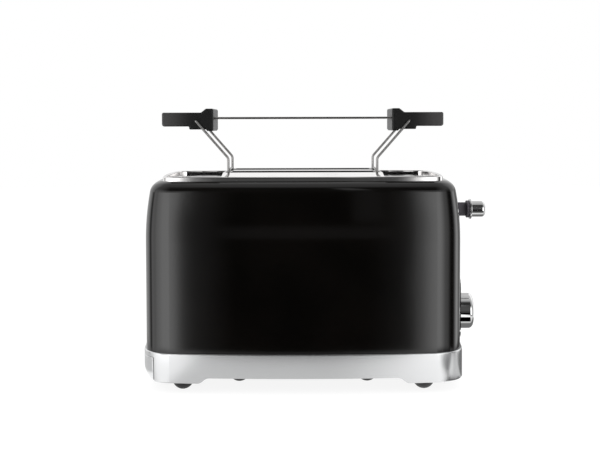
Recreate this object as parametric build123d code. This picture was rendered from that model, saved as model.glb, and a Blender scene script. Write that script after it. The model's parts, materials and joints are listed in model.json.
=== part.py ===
from build123d import *
import math
import os

# A two-slot bread toaster with a detachable bun rack, as separate pieces in millimetres.
# +Z is up, +X points to the lever end and -Y to the front. The pieces are drawn about the middle
# of the case and written about the bottom centre of the box round the whole object.

os.makedirs("parts", exist_ok=True)

# Clearances and fits
seam = 0.4
slide_gap = 0.3
running_gap = 0.05
touch_gap = 0.02
past_face = 1.0

# Bread slots, from which the length and the depth of the case are built up
slot_spacing = 57.0
slot_width = 34.0
slot_half_length = 74.0
slot_corner = 6.0

# Case seen from above: four bowed sides joined by round corners
front_bow_radius = 1200.0
end_bow_radius = 500.0
corner_radius = 28.0
case_beside_chassis = 12.5
case_past_board = 18.5

# Case seen from the side: upright, then a slow taper, then the shoulder up to the flat top
case_above_lever = 31.8
taper_height = 56.0
taper_radius = 250.0
shoulder_radius = 12.0
shell_wall = 0.8
shell_flange = 6.0
shell_lap = 4.0

# Skirt round the foot of the case
skirt_bottom_z = 10.6
skirt_top_z = 38.2
skirt_proud = 2.0
skirt_seat = 1.4
skirt_round = 1.0
arch_height = 5.4
arch_half_flat = 86.0
arch_end_run = 13.0

# Top plate, with its rim, end pockets and raised middle
plate_margin = 0.4
plate_sheet = 1.0
rim_width = 3.2
rim_height = 4.2
rim_round = 1.2
lip_height = 7.4
lip_border = 1.6
lip_round = 0.7
middle_border = 2.2
middle_end_slope = 0.8
middle_under_rim = 0.4
middle_below_rim = 0.8
collar_wall = 0.8
collar_depth = 5.5

# Base pan, feet and screws
pan_inset = 1.5
pan_floor_z = 19.0
pan_thickness = 2.0
pan_wall = 2.0
pan_wall_height = 8.0
foot_radius = 10.3
foot_flat_depth = 0.4
foot_stem_radius = 4.0
foot_stem_length = 4.0
boss_radius = 13.0
outer_foot_from_end = 37.5
outer_foot_from_front = 27.5
inner_foot_x = 62.0
inner_foot_y = 28.0
screw_radius = 1.5
screw_head_radius = 3.2
screw_head_height = 2.0
screw_length = 5.0

# Crumb tray and its front on the left end
tray_sheet = 0.8
tray_half_width = 60.0
tray_height = 7.7
tray_short_of_plate = 6.5
tray_front_overlap = 10.8
tray_front_gap = 1.6
tray_front_drop = 0.9
tray_front_toe = 0.5
tray_front_inset = 4.6
tray_front_curve = 12.7
tray_front_undercut = 4.2

# Chassis
chassis_past_slot = 6.5
chassis_sheet = 1.0
chassis_top_drop = 6.0
chassis_flange = 10.0
tunnel_height = 2.5
tunnel_margin = 1.5
lug_width = 8.5
shield_sheet = 0.6
shield_margin = 3.0
shield_drop = 2.0
shield_flange = 5.0

# Heaters: flat boards wound with ribbon
board_thickness = 1.0
board_short_of_plate = 5.5
board_top_drop = 6.0
board_below_guard = 3.0
board_tab_height = 8.0
board_tab_turn = 2
board_to_slot = 6.0
ribbon_width = 1.6
ribbon_thickness = 0.25
ribbon_turns = 11
ribbon_margin = 9.0

# Bread guards, wire grilles that close on the bread
guard_bar_radius = 1.0
guard_wire_radius = 0.8
guard_above_lift = 4.0
guard_top_drop = 7.0
guard_wire_count = 12
guard_wire_margin = 2.5
guard_wall_gap = 1.0
guard_travel = 7.0
bar_overhang = 1.5

# Carriage and lever
lever_travel = 55.0
lift_clearance = 3.5
lift_height = 6.0
lift_thickness = 2.0
lift_fin_half_width = 6.5
lift_fin_count = 9
lift_fin_margin = 10.0
lift_fin_thickness = 1.2
lift_fin_step = 1.0
carriage_gap = 9.5
carriage_sheet = 2.0
carriage_half_width = 20.0
carriage_arm_reach = 4.5
carriage_arm_height = 10.0
carriage_above_lever = 1.0
rod_radius = 2.5
rod_offset_y = 14.0
rod_boss_half = 5.0
rod_boss_height = 10.0
rod_seat_height = 5.0
lever_above_panel = 2.4
lever_height = 13.2
lever_thickness = 4.5
lever_past_case = 14.2
lever_end_length = 2.6
lever_end_height = 17.0
collar_radius = 10.0
collar_length = 2.0
collar_round = 0.6
knob_grip_radius = 7.8
knob_grip_length = 13.7
knob_grip_round = 3.2

# Return spring and the bracket over the carriage
spring_beside_rod = 10.0
spring_coil_radius = 3.2
spring_wire_radius = 0.4
spring_turns = 14
spring_arm_rise = 28.0
spring_arm_thickness = 2.0
spring_arm_margin = 4.0
bracket_drop = 7.0
bracket_sheet = 2.0
bracket_past_spring = 6.0
bracket_past_rod = 17.5
bracket_flange = 8.0

# Magnet that holds the carriage down
magnet_past_rod = 18.0
magnet_hold_gap = 0.4
armature_half_length = 9.0
armature_half_width = 7.0
armature_thickness = 1.6
armature_arm_thickness = 2.0
core_radius = 4.0
core_length = 27.0
coil_radius = 8.0
coil_height = 20.0
bobbin_radius = 9.0
bobbin_flange = 1.2
magnet_base_thickness = 2.0
magnet_base_half = 10.0

# Mains contacts closed by the carriage
contact_past_rod = 6.0
contact_beside_rod = 13.0
contact_half_length = 5.0
contact_half_width = 6.0
contact_block_height = 12.0
contact_leaf_height = 6.4
contact_leaf_thickness = 0.5
contact_leaf_half_width = 2.0
pusher_half_width = 2.0
pusher_height = 3.0
contact_gap = 0.4

# Control panel, knob and buttons on the right end
panel_sheet = 1.3
panel_half_width = 45.0
panel_above_skirt = 6.3
panel_above_buttons = 11.0
panel_corner = 8.0
dial_above_edge = 0.6
dial_radius = 17.4
dial_gap = 0.8
dial_length = 15.4
dial_round = 4.0
dial_wall = 2.6
dial_face = 4.0
dial_hub_radius = 5.5
dial_marker_length = 7.0
dial_marker_width = 1.2
dial_marker_depth = 0.5
shaft_radius = 3.0
shaft_hole_gap = 0.5
button_above_dial = 9.3
button_pitch = 24.0
button_radius = 4.6
button_proud = 1.4
button_travel = 2.0
button_flange = 1.2
button_flange_thickness = 1.2
button_stem_radius = 2.0
button_round = 0.8

# Control board
pcb_past_magnet = 15.0
pcb_thickness = 1.6
pcb_half_width = 40.0
pcb_post_height = 21.0
pcb_above_buttons = 10.0
pcb_post_y = 30.0
pcb_post_half = 3.0
switch_half = 4.0
switch_depth = 5.4
switch_floor = 0.5
pot_radius = 8.0
pot_depth = 7.4
pot_bush_radius = 4.5
pot_bush_length = 6.0
relay_half = 7.0
relay_depth = 12.0
relay_y = 24.0
relay_below_buttons = 16.0
capacitor_radius = 6.0
capacitor_depth = 14.0
capacitor_y = -24.0
capacitor_below_buttons = 8.0

# Mains side: gland in the base pan, terminal block and leads
terminal_past_rod = 10.0
terminal_y = 50.0
terminal_half_length = 10.0
terminal_half_width = 8.0
terminal_height = 12.0
gland_past_terminal = 4.0
gland_before_terminal = 17.0
gland_bore_radius = 3.2
gland_neck_radius = 5.0
gland_flange_radius = 7.0
gland_flange_height = 2.4
lead_radius = 1.0
lead_pitch = 2.1
lead_bend = 3.0
lead_rise = 8.0
heater_lead_rise = 25.0
heater_lead_offset = 4.0
heater_lead_bend = 8.0

# Bun rack
rack_height = 51.8
rack_wire_radius = 1.0
rack_wire_count = 4
rack_wire_half_span = 22.5
rack_socket = 5.0
leg_radius = 1.2
leg_from_slot_end = 2.2
leg_pin_run = 31.4
leg_pin_below_wires = 2.7
leg_bend_rise = 13.1
leg_depth = 7.0
leg_hump_past_bridge = 1.5
leg_pin_depth = 7.0
leg_bend = 5.0
leg_tight_bend = 2.6
leg_pin_bend = 1.4
handle_inside_pin = 17.0
handle_block_length = 7.3
handle_ramp_length = 4.8
handle_step_length = 16.2
handle_length = 42.5
handle_top_rise = 5.3
handle_low_drop = 8.2
handle_step_drop = 11.1
handle_block_rise = 9.1
handle_block_drop = 12.6
handle_block_chamfer = 1.2
handle_nose_round = 2.5
handle_ramp_round = 2.0
handle_corner_round = 1.6
handle_step_round = 1.2
handle_tight_round = 0.5
handle_edge_round = 1.5


# Places along the case, from the slots out to the ends
slot_y = slot_spacing / 2
slot_half_width = slot_width / 2
chassis_half_length = slot_half_length + chassis_past_slot
chassis_out_x = chassis_half_length + chassis_sheet
carriage_x = chassis_out_x + carriage_gap
carriage_out_x = carriage_x + carriage_sheet
rod_x = carriage_out_x + rod_boss_half
contact_x = rod_x + contact_past_rod
terminal_x = rod_x + terminal_past_rod
gland_x = terminal_x + gland_past_terminal
magnet_x = rod_x + magnet_past_rod
pcb_x = magnet_x + pcb_past_magnet
pcb_out_x = pcb_x + pcb_thickness
case_half_length = pcb_out_x + case_past_board
dial_end_x = case_half_length + panel_sheet + dial_gap + dial_length
lever_end_x = case_half_length + lever_past_case
collar_end_x = lever_end_x + collar_length
lever_tip_x = collar_end_x + knob_grip_length
middle_half_length = slot_half_length + middle_border
board_half_length = chassis_half_length - board_short_of_plate
tray_right_x = chassis_half_length - tray_short_of_plate
guard_wire_reach = slot_half_length - guard_wire_margin
lift_fin_reach = slot_half_length - lift_fin_margin
shaft_hole_radius = shaft_radius + shaft_hole_gap
far = 2 * lever_tip_x

# Places across the case, from the middle out to the front
tunnel_half = tray_half_width + tunnel_margin
chassis_half_depth = tunnel_half + lug_width
case_half_depth = chassis_half_depth + case_beside_chassis
tray_front_half_width = tray_half_width + tray_front_overlap
guard_half_gap = slot_half_width - guard_wall_gap
outer_board_y = slot_y + slot_half_width + board_to_slot
bridge_half = slot_y - slot_half_width
spring_y = -rod_offset_y - spring_beside_rod
contact_y = -rod_offset_y - contact_beside_rod
carriage_arm_half_width = slot_y + carriage_arm_reach
bracket_half_width = rod_offset_y + spring_beside_rod + bracket_past_spring
gland_y = terminal_y - gland_before_terminal
button_places = [-button_pitch, 0.0, button_pitch]

# Heights, from the pan up to the rack
shell_bottom_z = skirt_top_z - shell_lap
arch_z = skirt_bottom_z + arch_height
tray_front_top_z = shell_bottom_z - tray_front_drop
tray_front_bottom_z = skirt_bottom_z + tray_front_toe
pan_top_z = pan_floor_z + pan_thickness
tray_floor_z = pan_top_z + slide_gap
tray_wall_top_z = tray_floor_z + tray_height
tunnel_top_z = tray_wall_top_z + tunnel_height
lift_down_z = tunnel_top_z + lift_clearance + lift_height
lift_top_z = lift_down_z + lever_travel
lift_low_z = lift_top_z - lift_height
guard_low_z = lift_down_z + guard_above_lift
board_bottom_z = guard_low_z - board_below_guard
core_top_z = pan_top_z + magnet_base_thickness + core_length
armature_bottom_z = core_top_z + magnet_hold_gap + lever_travel
armature_top_z = armature_bottom_z + armature_thickness
contact_top_z = pan_top_z + contact_block_height + contact_leaf_height
pusher_z = contact_top_z + contact_gap + lever_travel
spring_arm_z = lift_top_z + spring_arm_rise
panel_bottom_z = skirt_top_z + panel_above_skirt
dial_z = panel_bottom_z + dial_above_edge + dial_radius
button_z = dial_z + dial_radius + button_above_dial
panel_top_z = button_z + panel_above_buttons
pcb_bottom_z = pan_top_z + pcb_post_height
pcb_top_z = button_z + pcb_above_buttons
relay_z = button_z - relay_below_buttons
capacitor_z = button_z - capacitor_below_buttons
lever_down_z = panel_top_z + lever_above_panel + lever_height / 2
lever_z = lever_down_z + lever_travel
lever_low_z = lever_z - lever_height / 2
lever_high_z = lever_z + lever_height / 2
carriage_top_z = lever_high_z + carriage_above_lever
case_top_z = lever_z + case_above_lever
taper_start_z = case_top_z - taper_height
chassis_top_z = case_top_z - chassis_top_drop
shield_top_z = chassis_top_z - shield_drop
board_top_z = chassis_top_z - board_top_drop
guard_high_z = chassis_top_z - guard_top_drop
bracket_z = chassis_top_z - bracket_drop
collar_bottom_z = case_top_z - collar_depth
rim_top_z = case_top_z + rim_height
lip_z = case_top_z + lip_height
rack_wire_z = lip_z + rack_height
lead_z = pan_top_z + lead_rise
heater_lead_z = pan_top_z + terminal_height + heater_lead_rise

# Shoulder of the case, and how far in the top plate sits
taper_angle = math.asin((taper_height - shoulder_radius) / (taper_radius - shoulder_radius))
shoulder_inset = taper_radius - (taper_radius - shoulder_radius) * math.cos(taper_angle)
plate_inset = shoulder_inset + plate_margin
pocket_inset = plate_inset + rim_width
front_centre_y = front_bow_radius - case_half_depth
end_centre_x = case_half_length - end_bow_radius

# Bun rack: legs in the slots near their ends, handles over the ends of the case
leg_x = slot_half_length - leg_from_slot_end
leg_y = slot_y
leg_pin_x = leg_x + leg_pin_run
leg_pin_z = rack_wire_z - leg_pin_below_wires
leg_bend_z = lip_z + leg_bend_rise
leg_low_z = lip_z - leg_depth
leg_hump_z = lip_z + slide_gap + leg_radius
leg_hump_half = bridge_half + leg_hump_past_bridge
handle_half_depth = leg_y - leg_radius - slide_gap
handle_inner_x = leg_pin_x - handle_inside_pin
handle_block_x = handle_inner_x + handle_block_length
handle_ramp_x = handle_block_x + handle_ramp_length
handle_step_x = handle_block_x + handle_step_length
handle_outer_x = handle_block_x + handle_length
handle_top_z = rack_wire_z + handle_top_rise
handle_low_z = rack_wire_z - handle_low_drop
handle_step_z = rack_wire_z - handle_step_drop
handle_block_top_z = rack_wire_z + handle_block_rise
handle_block_low_z = rack_wire_z - handle_block_drop

origin_x = (lever_tip_x - case_half_length - skirt_proud) / 2


# Helpers


def block(x_range, y_range, z_range):
    """Box between three ranges."""
    (x0, x1), (y0, y1), (z0, z1) = x_range, y_range, z_range
    return Pos((x0 + x1) / 2, (y0 + y1) / 2, (z0 + z1) / 2) * Box(x1 - x0, y1 - y0, z1 - z0)


def rod_up(x, y, z_range, radius):
    """Round bar along Z."""
    return Pos(x, y, (z_range[0] + z_range[1]) / 2) * Cylinder(radius, z_range[1] - z_range[0])


def rod_along(x_range, y, z, radius):
    """Round bar along X."""
    turned = Rot(0, 90, 0) * Cylinder(radius, x_range[1] - x_range[0])
    return Pos((x_range[0] + x_range[1]) / 2, y, z) * turned


def spread(half_span, count):
    """Even places from one end of a span to the other."""
    return [half_span * (2 * place / (count - 1) - 1) for place in range(count)]


def tube(points, bends, radius):
    """Round wire along straight runs joined by tangent arcs."""
    path = FilletPolyline(*points, radius=bends)
    start = Plane(origin=path @ 0, z_dir=path % 0)
    return sweep(start * Circle(radius), path=path)


def corner_centre():
    """Centre of the corner arc at +X, -Y, which touches the front bow and the end bow from inside."""
    to_front = front_bow_radius - corner_radius
    to_end = end_bow_radius - corner_radius
    between = math.hypot(end_centre_x, front_centre_y)
    along = (between**2 + to_front**2 - to_end**2) / (2 * between)
    across = math.sqrt(to_front**2 - along**2)
    step_x, step_y = end_centre_x / between, -front_centre_y / between
    return along * step_x - across * step_y, front_centre_y + along * step_y + across * step_x


corner_x, corner_y = corner_centre()
corner_start = math.degrees(math.atan2(corner_y - front_centre_y, corner_x))
corner_end = math.degrees(math.atan2(corner_y, corner_x - end_centre_x))
half_bow_front = 90 + corner_start
half_bow_end = -corner_end
corner_sweep = corner_end - corner_start


def plan_arcs():
    """Eight arcs round the case, each as its centre, radius, start angle and swept angle."""
    arcs = []
    start = -90 - half_bow_front
    for side in range(4):
        along_front = side % 2 == 0
        sign = 1 if side in (0, 1) else -1
        if along_front:
            centre, radius, half = (0, sign * front_centre_y), front_bow_radius, half_bow_front
        else:
            centre, radius, half = (sign * end_centre_x, 0), end_bow_radius, half_bow_end
        arcs.append((centre, radius, start, 2 * half))
        start += 2 * half
        corner_sign_x = 1 if side in (0, 1) else -1
        corner_sign_y = 1 if side in (0, 3) else -1
        corner = (corner_sign_x * corner_x, corner_sign_y * corner_y)
        arcs.append((corner, corner_radius, start, corner_sweep))
        start += corner_sweep
    return arcs


def arc_point(centre, radius, degrees):
    angle = math.radians(degrees)
    return centre[0] + radius * math.cos(angle), centre[1] + radius * math.sin(angle)


def outline(inset):
    """Face of the case's plan, drawn in by the inset."""
    edges = []
    for centre, radius, start, swept in plan_arcs():
        angles = (start, start + swept / 2, start + swept)
        edges.append(ThreePointArc(*[arc_point(centre, radius - inset, angle) for angle in angles]))
    return make_face(edges)


def slab(inset, z_range):
    """Plate with the case's plan, drawn in by the inset."""
    return Pos(0, 0, z_range[0]) * extrude(outline(inset), z_range[1] - z_range[0])


def ring(profile):
    """Turns a profile round the case. Its X is how far it stands out of the case, its Y is height."""
    pieces = []
    for centre, radius, start, swept in plan_arcs():
        angle = math.radians(start)
        out = (math.cos(angle), math.sin(angle), 0)
        across = (math.sin(angle), -math.cos(angle), 0)
        section = Plane(origin=(*centre, 0), x_dir=out, z_dir=across) * Pos(radius, 0) * profile
        pieces.append(revolve(section, Axis((*centre, 0), (0, 0, 1)), swept))
    return pieces[0] + pieces[1:]


def end_x(y, inset=0.0):
    """X of the case's right end at a given Y, drawn in by the inset."""
    return end_centre_x + math.sqrt((end_bow_radius - inset) ** 2 - y**2)


def end_cut_range():
    """X range of a cut that goes through the right end's wall and panel and no further in."""
    return end_x(panel_half_width, shell_wall) - past_face, dial_end_x


def both_slots(piece):
    """The piece in the front slot and its copy in the rear slot."""
    return [Pos(0, side * slot_y, 0) * piece for side in (-1, 1)]


# Case


def shell_line(depth):
    """Edges of the shell's section from its foot to its flange, at a depth under the outer skin."""
    taper_mid = taper_angle / 2
    taper_r = taper_radius - depth
    round_r = shoulder_radius - depth
    round_mid = (taper_angle + math.pi / 2) / 2
    round_z = case_top_z - shoulder_radius
    foot = (-depth, shell_bottom_z)
    start = (-depth, taper_start_z)
    mid = (-taper_radius + taper_r * math.cos(taper_mid), taper_start_z + taper_r * math.sin(taper_mid))
    join = (-taper_radius + taper_r * math.cos(taper_angle), taper_start_z + taper_r * math.sin(taper_angle))
    turn = (-shoulder_inset + round_r * math.cos(round_mid), round_z + round_r * math.sin(round_mid))
    top = (-shoulder_inset, case_top_z - depth)
    inner = (-shoulder_inset - shell_flange, case_top_z - depth)
    return foot, inner, [
        Line(foot, start),
        ThreePointArc(start, mid, join),
        ThreePointArc(join, turn, top),
        Line(top, inner),
    ]


def make_body_shell():
    outer_foot, outer_end, outer = shell_line(0)
    inner_foot, inner_end, inner = shell_line(shell_wall)
    section = make_face(outer + inner + [Line(outer_foot, inner_foot), Line(outer_end, inner_end)])
    shell = ring(section)
    through = end_cut_range()
    slot_half = lever_thickness / 2 + slide_gap
    lever_slot_z = (lever_low_z - lever_travel - slide_gap, lever_high_z + slide_gap)
    shell -= block(through, (-slot_half, slot_half), lever_slot_z)
    shell -= rod_along(through, 0, dial_z, shaft_hole_radius)
    for y in button_places:
        shell -= rod_along(through, y, button_z, button_radius + slide_gap)
    return shell


def make_skirt():
    out = skirt_proud
    low, high = skirt_bottom_z, skirt_top_z
    turn = skirt_round * (1 - math.sqrt(0.5))
    section = make_face([
        Line((-skirt_seat, low), (out - skirt_round, low)),
        ThreePointArc((out - skirt_round, low), (out - turn, low + turn), (out, low + skirt_round)),
        Line((out, low + skirt_round), (out, high - skirt_round)),
        ThreePointArc((out, high - skirt_round), (out - turn, high - turn), (out - skirt_round, high)),
        Line((out - skirt_round, high), (running_gap, high)),
        Line((running_gap, high), (running_gap, shell_bottom_z)),
        Line((running_gap, shell_bottom_z), (-skirt_seat, shell_bottom_z)),
        Line((-skirt_seat, shell_bottom_z), (-skirt_seat, low)),
    ])
    skirt = ring(section)
    skirt -= arch_cutter()
    window_half = tray_front_half_width + tray_front_gap
    return skirt - block((-far, 0), (-window_half, window_half), (0, tray_front_top_z + seam))


def arch_cutter():
    """Prism along Y that raises the skirt's lower edge in an arch with S-shaped ends."""
    arch_half_span = arch_half_flat + arch_end_run
    mid_x, mid_z = (arch_half_flat + arch_half_span) / 2, (arch_z + skirt_bottom_z) / 2
    below = skirt_bottom_z - past_face
    edges = [Line((-arch_half_flat, arch_z), (arch_half_flat, arch_z))]
    for side in (-1, 1):
        low, mid = (side * arch_half_span, skirt_bottom_z), (side * mid_x, mid_z)
        high = (side * arch_half_flat, arch_z)
        edges.append(TangentArc(low, mid, tangent=(-side, 0)))
        edges.append(TangentArc(high, mid, tangent=(side, 0)))
        edges.append(Line(low, (side * arch_half_span, below)))
    edges.append(Line((-arch_half_span, below), (arch_half_span, below)))
    return extrude(Plane.XZ * make_face(edges), 2 * case_half_depth, both=True)


def make_top_plate():
    out, inner = -plate_inset, -pocket_inset
    turn = rim_round * (1 - math.sqrt(0.5))
    top, low = rim_top_z, case_top_z
    rim = ring(make_face([
        Line((inner, low), (out, low)),
        Line((out, low), (out, top - rim_round)),
        ThreePointArc((out, top - rim_round), (out - turn, top - turn), (out - rim_round, top)),
        Line((out - rim_round, top), (inner + rim_round, top)),
        ThreePointArc((inner + rim_round, top), (inner + turn, top - turn), (inner, top - rim_round)),
        Line((inner, top - rim_round), (inner, low)),
    ]))
    floor = slab(pocket_inset - touch_gap, (low, low + plate_sheet))
    plate = rim + floor + plate_middle(0) - plate_middle(plate_sheet)
    slots = both_slots(slot_prism(0, (collar_bottom_z - past_face, lip_z + past_face)))
    collars = both_slots(slot_prism(collar_wall, (collar_bottom_z, lip_z - plate_sheet / 2)))
    plate = plate + collars - slots
    lips = plate.edges().filter_by(lambda edge: abs(edge.center().Z - lip_z) < touch_gap)
    mouths = lips.filter_by(lambda edge: abs(edge.center().X) < slot_half_length + touch_gap)
    mouths = mouths.filter_by(lambda edge: abs(edge.center().Y) < slot_y + slot_half_width + touch_gap)
    return fillet(mouths, lip_round)


def plate_middle(depth):
    """Raised middle of the top plate, or the hollow a sheet's thickness under it."""
    base_y = case_half_depth - pocket_inset + middle_under_rim - depth
    base_x = middle_half_length - depth
    lip_x = middle_half_length - middle_end_slope - depth
    lip_y = slot_y + slot_half_width + lip_border - depth
    low = case_top_z if depth == 0 else case_top_z - past_face
    base_z = rim_top_z - middle_below_rim - depth
    base = Pos(0, 0, base_z) * Rectangle(2 * base_x, 2 * base_y)
    crown = Pos(0, 0, lip_z - depth) * Rectangle(2 * lip_x, 2 * lip_y)
    lower = block((-base_x, base_x), (-base_y, base_y), (low, base_z))
    return lower + loft([base.face(), crown.face()], ruled=True)


def slot_prism(wall, z_range):
    """A bread slot's space, or the outside of its collar with the given wall."""
    plan = RectangleRounded(2 * (slot_half_length + wall), slot_width + 2 * wall, slot_corner + wall)
    return Pos(0, 0, z_range[0]) * extrude(plan, z_range[1] - z_range[0])


def four_corners(x, y):
    """Four places that mirror each other across the middle of the case."""
    return [(side_x * x, side_y * y) for side_x in (-1, 1) for side_y in (-1, 1)]


outer_feet = four_corners(case_half_length - outer_foot_from_end, case_half_depth - outer_foot_from_front)
inner_feet = four_corners(inner_foot_x, inner_foot_y)
screw_x = chassis_out_x + chassis_flange / 2
screw_y = (tunnel_half + chassis_half_depth) / 2


def make_base_pan():
    opening_half = tray_front_half_width + 2 * seam
    opening = block((-far, 0), (-opening_half, opening_half), (0, tunnel_top_z))
    pan_wall_top_z = pan_top_z + pan_wall_height
    wall_z = (pan_top_z - touch_gap, pan_wall_top_z)
    wall = slab(pan_inset, wall_z) - slab(pan_inset + pan_wall, wall_z)
    floor = slab(pan_inset, (pan_floor_z, pan_top_z))
    trimmed = slab(tray_front_inset + seam, (pan_floor_z, pan_top_z)) & opening
    pan = floor + wall - opening + trimmed
    for x, y in outer_feet + inner_feet:
        pan += rod_up(x, y, (foot_radius, pan_top_z), boss_radius)
    for x, y in outer_feet + inner_feet:
        pan -= rod_up(x, y, (0, foot_radius + foot_stem_length), foot_stem_radius)
    for x, y in four_corners(screw_x, screw_y):
        pan -= rod_up(x, y, (0, pan_top_z + past_face), screw_radius + slide_gap)
    pan -= rod_up(gland_x, gland_y, (0, pan_top_z + past_face), gland_neck_radius + running_gap)
    for side in (-1, 1):
        seat = rod_up(rod_x, side * rod_offset_y, (pan_top_z, pan_top_z + rod_seat_height), rod_boss_half)
        pan += seat - rod_up(rod_x, side * rod_offset_y, (pan_top_z, pan_wall_top_z), rod_radius)
        post_y = side * pcb_post_y
        post_x = (pcb_x - pcb_post_half, pcb_out_x + pcb_post_half)
        pan += block(post_x, (post_y - pcb_post_half, post_y + pcb_post_half), (pan_top_z, pcb_bottom_z))
    return pan


def make_feet(places):
    """Rubber domes with a small flat on which the toaster stands, and a stem that sits in the pan."""
    feet = []
    for x, y in places:
        dome = Pos(x, y, foot_radius - foot_flat_depth) * Sphere(foot_radius)
        reach = foot_radius + past_face
        dome &= block((x - reach, x + reach), (y - reach, y + reach), (0, foot_radius))
        stem_z = (foot_radius - past_face, foot_radius + foot_stem_length)
        feet.append(dome + rod_up(x, y, stem_z, foot_stem_radius))
    return Compound(feet)


def make_base_screws():
    screws = []
    for x, y in four_corners(screw_x, screw_y):
        head = rod_up(x, y, (pan_floor_z - screw_head_height, pan_floor_z), screw_head_radius)
        socket = rod_up(x, y, (pan_floor_z - screw_head_height, pan_floor_z - screw_head_height / 2),
                        screw_radius)
        shank = rod_up(x, y, (pan_floor_z, pan_floor_z + screw_length), screw_radius)
        screws.append(head - socket + shank)
    return Compound(screws)


# Crumb tray


def make_crumb_tray():
    floor_z = (tray_floor_z, tray_floor_z + tray_sheet)
    reach = tray_front_inset + running_gap
    bounds = block((-far, tray_right_x), (-tray_half_width, tray_half_width), (0, tray_wall_top_z))
    inside = block((-far, tray_right_x - tray_sheet),
                   (tray_sheet - tray_half_width, tray_half_width - tray_sheet),
                   (floor_z[1], tray_wall_top_z))
    outer = slab(reach, (tray_floor_z, tray_wall_top_z)) & bounds
    hollow = slab(reach + tray_sheet, (floor_z[1], tray_wall_top_z)) & inside
    return outer - hollow


def make_tray_front():
    out, inner = skirt_proud, -tray_front_inset
    high, low = tray_front_top_z, tray_front_bottom_z
    curve = low + tray_front_curve
    turn = skirt_round * (1 - math.sqrt(0.5))
    toe = (out - tray_front_undercut, low)
    section = make_face([
        Line((inner, low), toe),
        TangentArc((out, curve), toe, tangent=(0, -1)),
        Line((out, curve), (out, high - skirt_round)),
        ThreePointArc((out, high - skirt_round), (out - turn, high - turn), (out - skirt_round, high)),
        Line((out - skirt_round, high), (inner, high)),
        Line((inner, high), (inner, low)),
    ])
    half = tray_front_half_width
    return ring(section) & block((-far, 0), (-half, half), (0, skirt_top_z))


# Chassis, heaters and guards

guard_places = {
    "front_outer": (-slot_y - guard_half_gap, 1),
    "front_inner": (-slot_y + guard_half_gap, -1),
    "rear_inner": (slot_y - guard_half_gap, 1),
    "rear_outer": (slot_y + guard_half_gap, -1),
}
board_places = {"front": -outer_board_y, "centre": 0.0, "rear": outer_board_y}
ribbon_pitch = (board_top_z - board_bottom_z - 2 * ribbon_margin) / (ribbon_turns - 1)
ribbon_levels = [board_top_z - ribbon_margin - ribbon_pitch * turn for turn in range(ribbon_turns)]
tab_middles = [ribbon_levels[board_tab_turn] - ribbon_pitch / 2,
               ribbon_levels[-board_tab_turn] - ribbon_pitch / 2]
tab_heights = [(middle - board_tab_height / 2, middle + board_tab_height / 2) for middle in tab_middles]


def make_chassis_plate():
    """Right end plate. The left one is its mirror image."""
    sheet = (chassis_half_length, chassis_out_x)
    past = (chassis_half_length - past_face, chassis_out_x + past_face)
    plate = block(sheet, (-chassis_half_depth, chassis_half_depth), (pan_top_z, chassis_top_z))
    plate -= block(past, (-tunnel_half, tunnel_half), (0, tunnel_top_z))
    for side in (-1, 1):
        lug = sorted((side * tunnel_half, side * chassis_half_depth))
        plate += block((chassis_half_length, chassis_out_x + chassis_flange), lug,
                       (pan_top_z, pan_top_z + chassis_sheet))
        plate -= rod_up(screw_x, side * screw_y, (0, tunnel_top_z), screw_radius + running_gap)
        lift_half = lift_thickness / 2 + slide_gap
        lift_y = (side * slot_y - lift_half, side * slot_y + lift_half)
        plate -= block(past, lift_y, (lift_low_z - lever_travel - slide_gap, lift_top_z + slide_gap))
    reach = guard_bar_radius + slide_gap / 2
    for y, direction in guard_places.values():
        track = sorted((y, y + direction * guard_travel))
        for z in (guard_low_z, guard_high_z):
            plate -= block(past, (track[0] - reach, track[1] + reach), (z - reach, z + reach))
    tab_half = board_thickness / 2 + running_gap
    for y in board_places.values():
        for low, high in tab_heights:
            plate -= block(past, (y - tab_half, y + tab_half), (low - running_gap, high + running_gap))
    return plate


def make_heat_shield(side):
    y0 = tray_half_width + shield_margin
    half = chassis_half_length - touch_gap
    sheet = block((-half, half), (y0, y0 + shield_sheet), (tunnel_top_z, shield_top_z))
    flange = block((-half, half), (y0, y0 + shield_flange), (shield_top_z - shield_sheet, shield_top_z))
    shield = sheet + flange
    return shield if side > 0 else mirror(shield, Plane.XZ)


def make_heater_board(y):
    half = board_thickness / 2
    span = (-board_half_length, board_half_length)
    board = block(span, (y - half, y + half), (board_bottom_z, board_top_z))
    tab_reach = chassis_out_x + bar_overhang
    for tab in tab_heights:
        board += block((-tab_reach, tab_reach), (y - half, y + half), tab)
    return board


def make_winding(y):
    """One flat ribbon wound round a board: level in front, one pitch down behind, round both edges."""
    half = board_thickness / 2
    edge = board_half_length
    over = edge + ribbon_thickness
    rise = ribbon_width / 2
    front = (y - half - ribbon_thickness, y - half)
    around = (y - half - ribbon_thickness, y + half + ribbon_thickness)
    ribbon = None
    for turn, z in enumerate(ribbon_levels):
        span = (z - rise, z + rise)
        pieces = [block((-over, over), front, span), block((edge, over), around, span)]
        if turn > 0:
            pieces.append(block((-over, -edge), around, span))
        if turn < ribbon_turns - 1:
            below = z - ribbon_pitch
            slant = Polygon((over, z - rise), (over, z + rise), (-over, below + rise), (-over, below - rise),
                            align=None)
            back = Plane(origin=(0, y + half, 0), x_dir=(1, 0, 0), z_dir=(0, -1, 0)) * slant
            pieces.append(extrude(back, -ribbon_thickness))
        ribbon = pieces[0] + pieces[1:] if ribbon is None else ribbon + pieces
    return ribbon


def make_guard(y):
    bar_reach = chassis_out_x + bar_overhang
    guard = rod_along((-bar_reach, bar_reach), y, guard_low_z, guard_bar_radius)
    guard += rod_along((-bar_reach, bar_reach), y, guard_high_z, guard_bar_radius)
    return guard + [rod_up(x, y, (guard_low_z, guard_high_z), guard_wire_radius)
                    for x in spread(guard_wire_reach, guard_wire_count)]


# Carriage and lever


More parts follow.
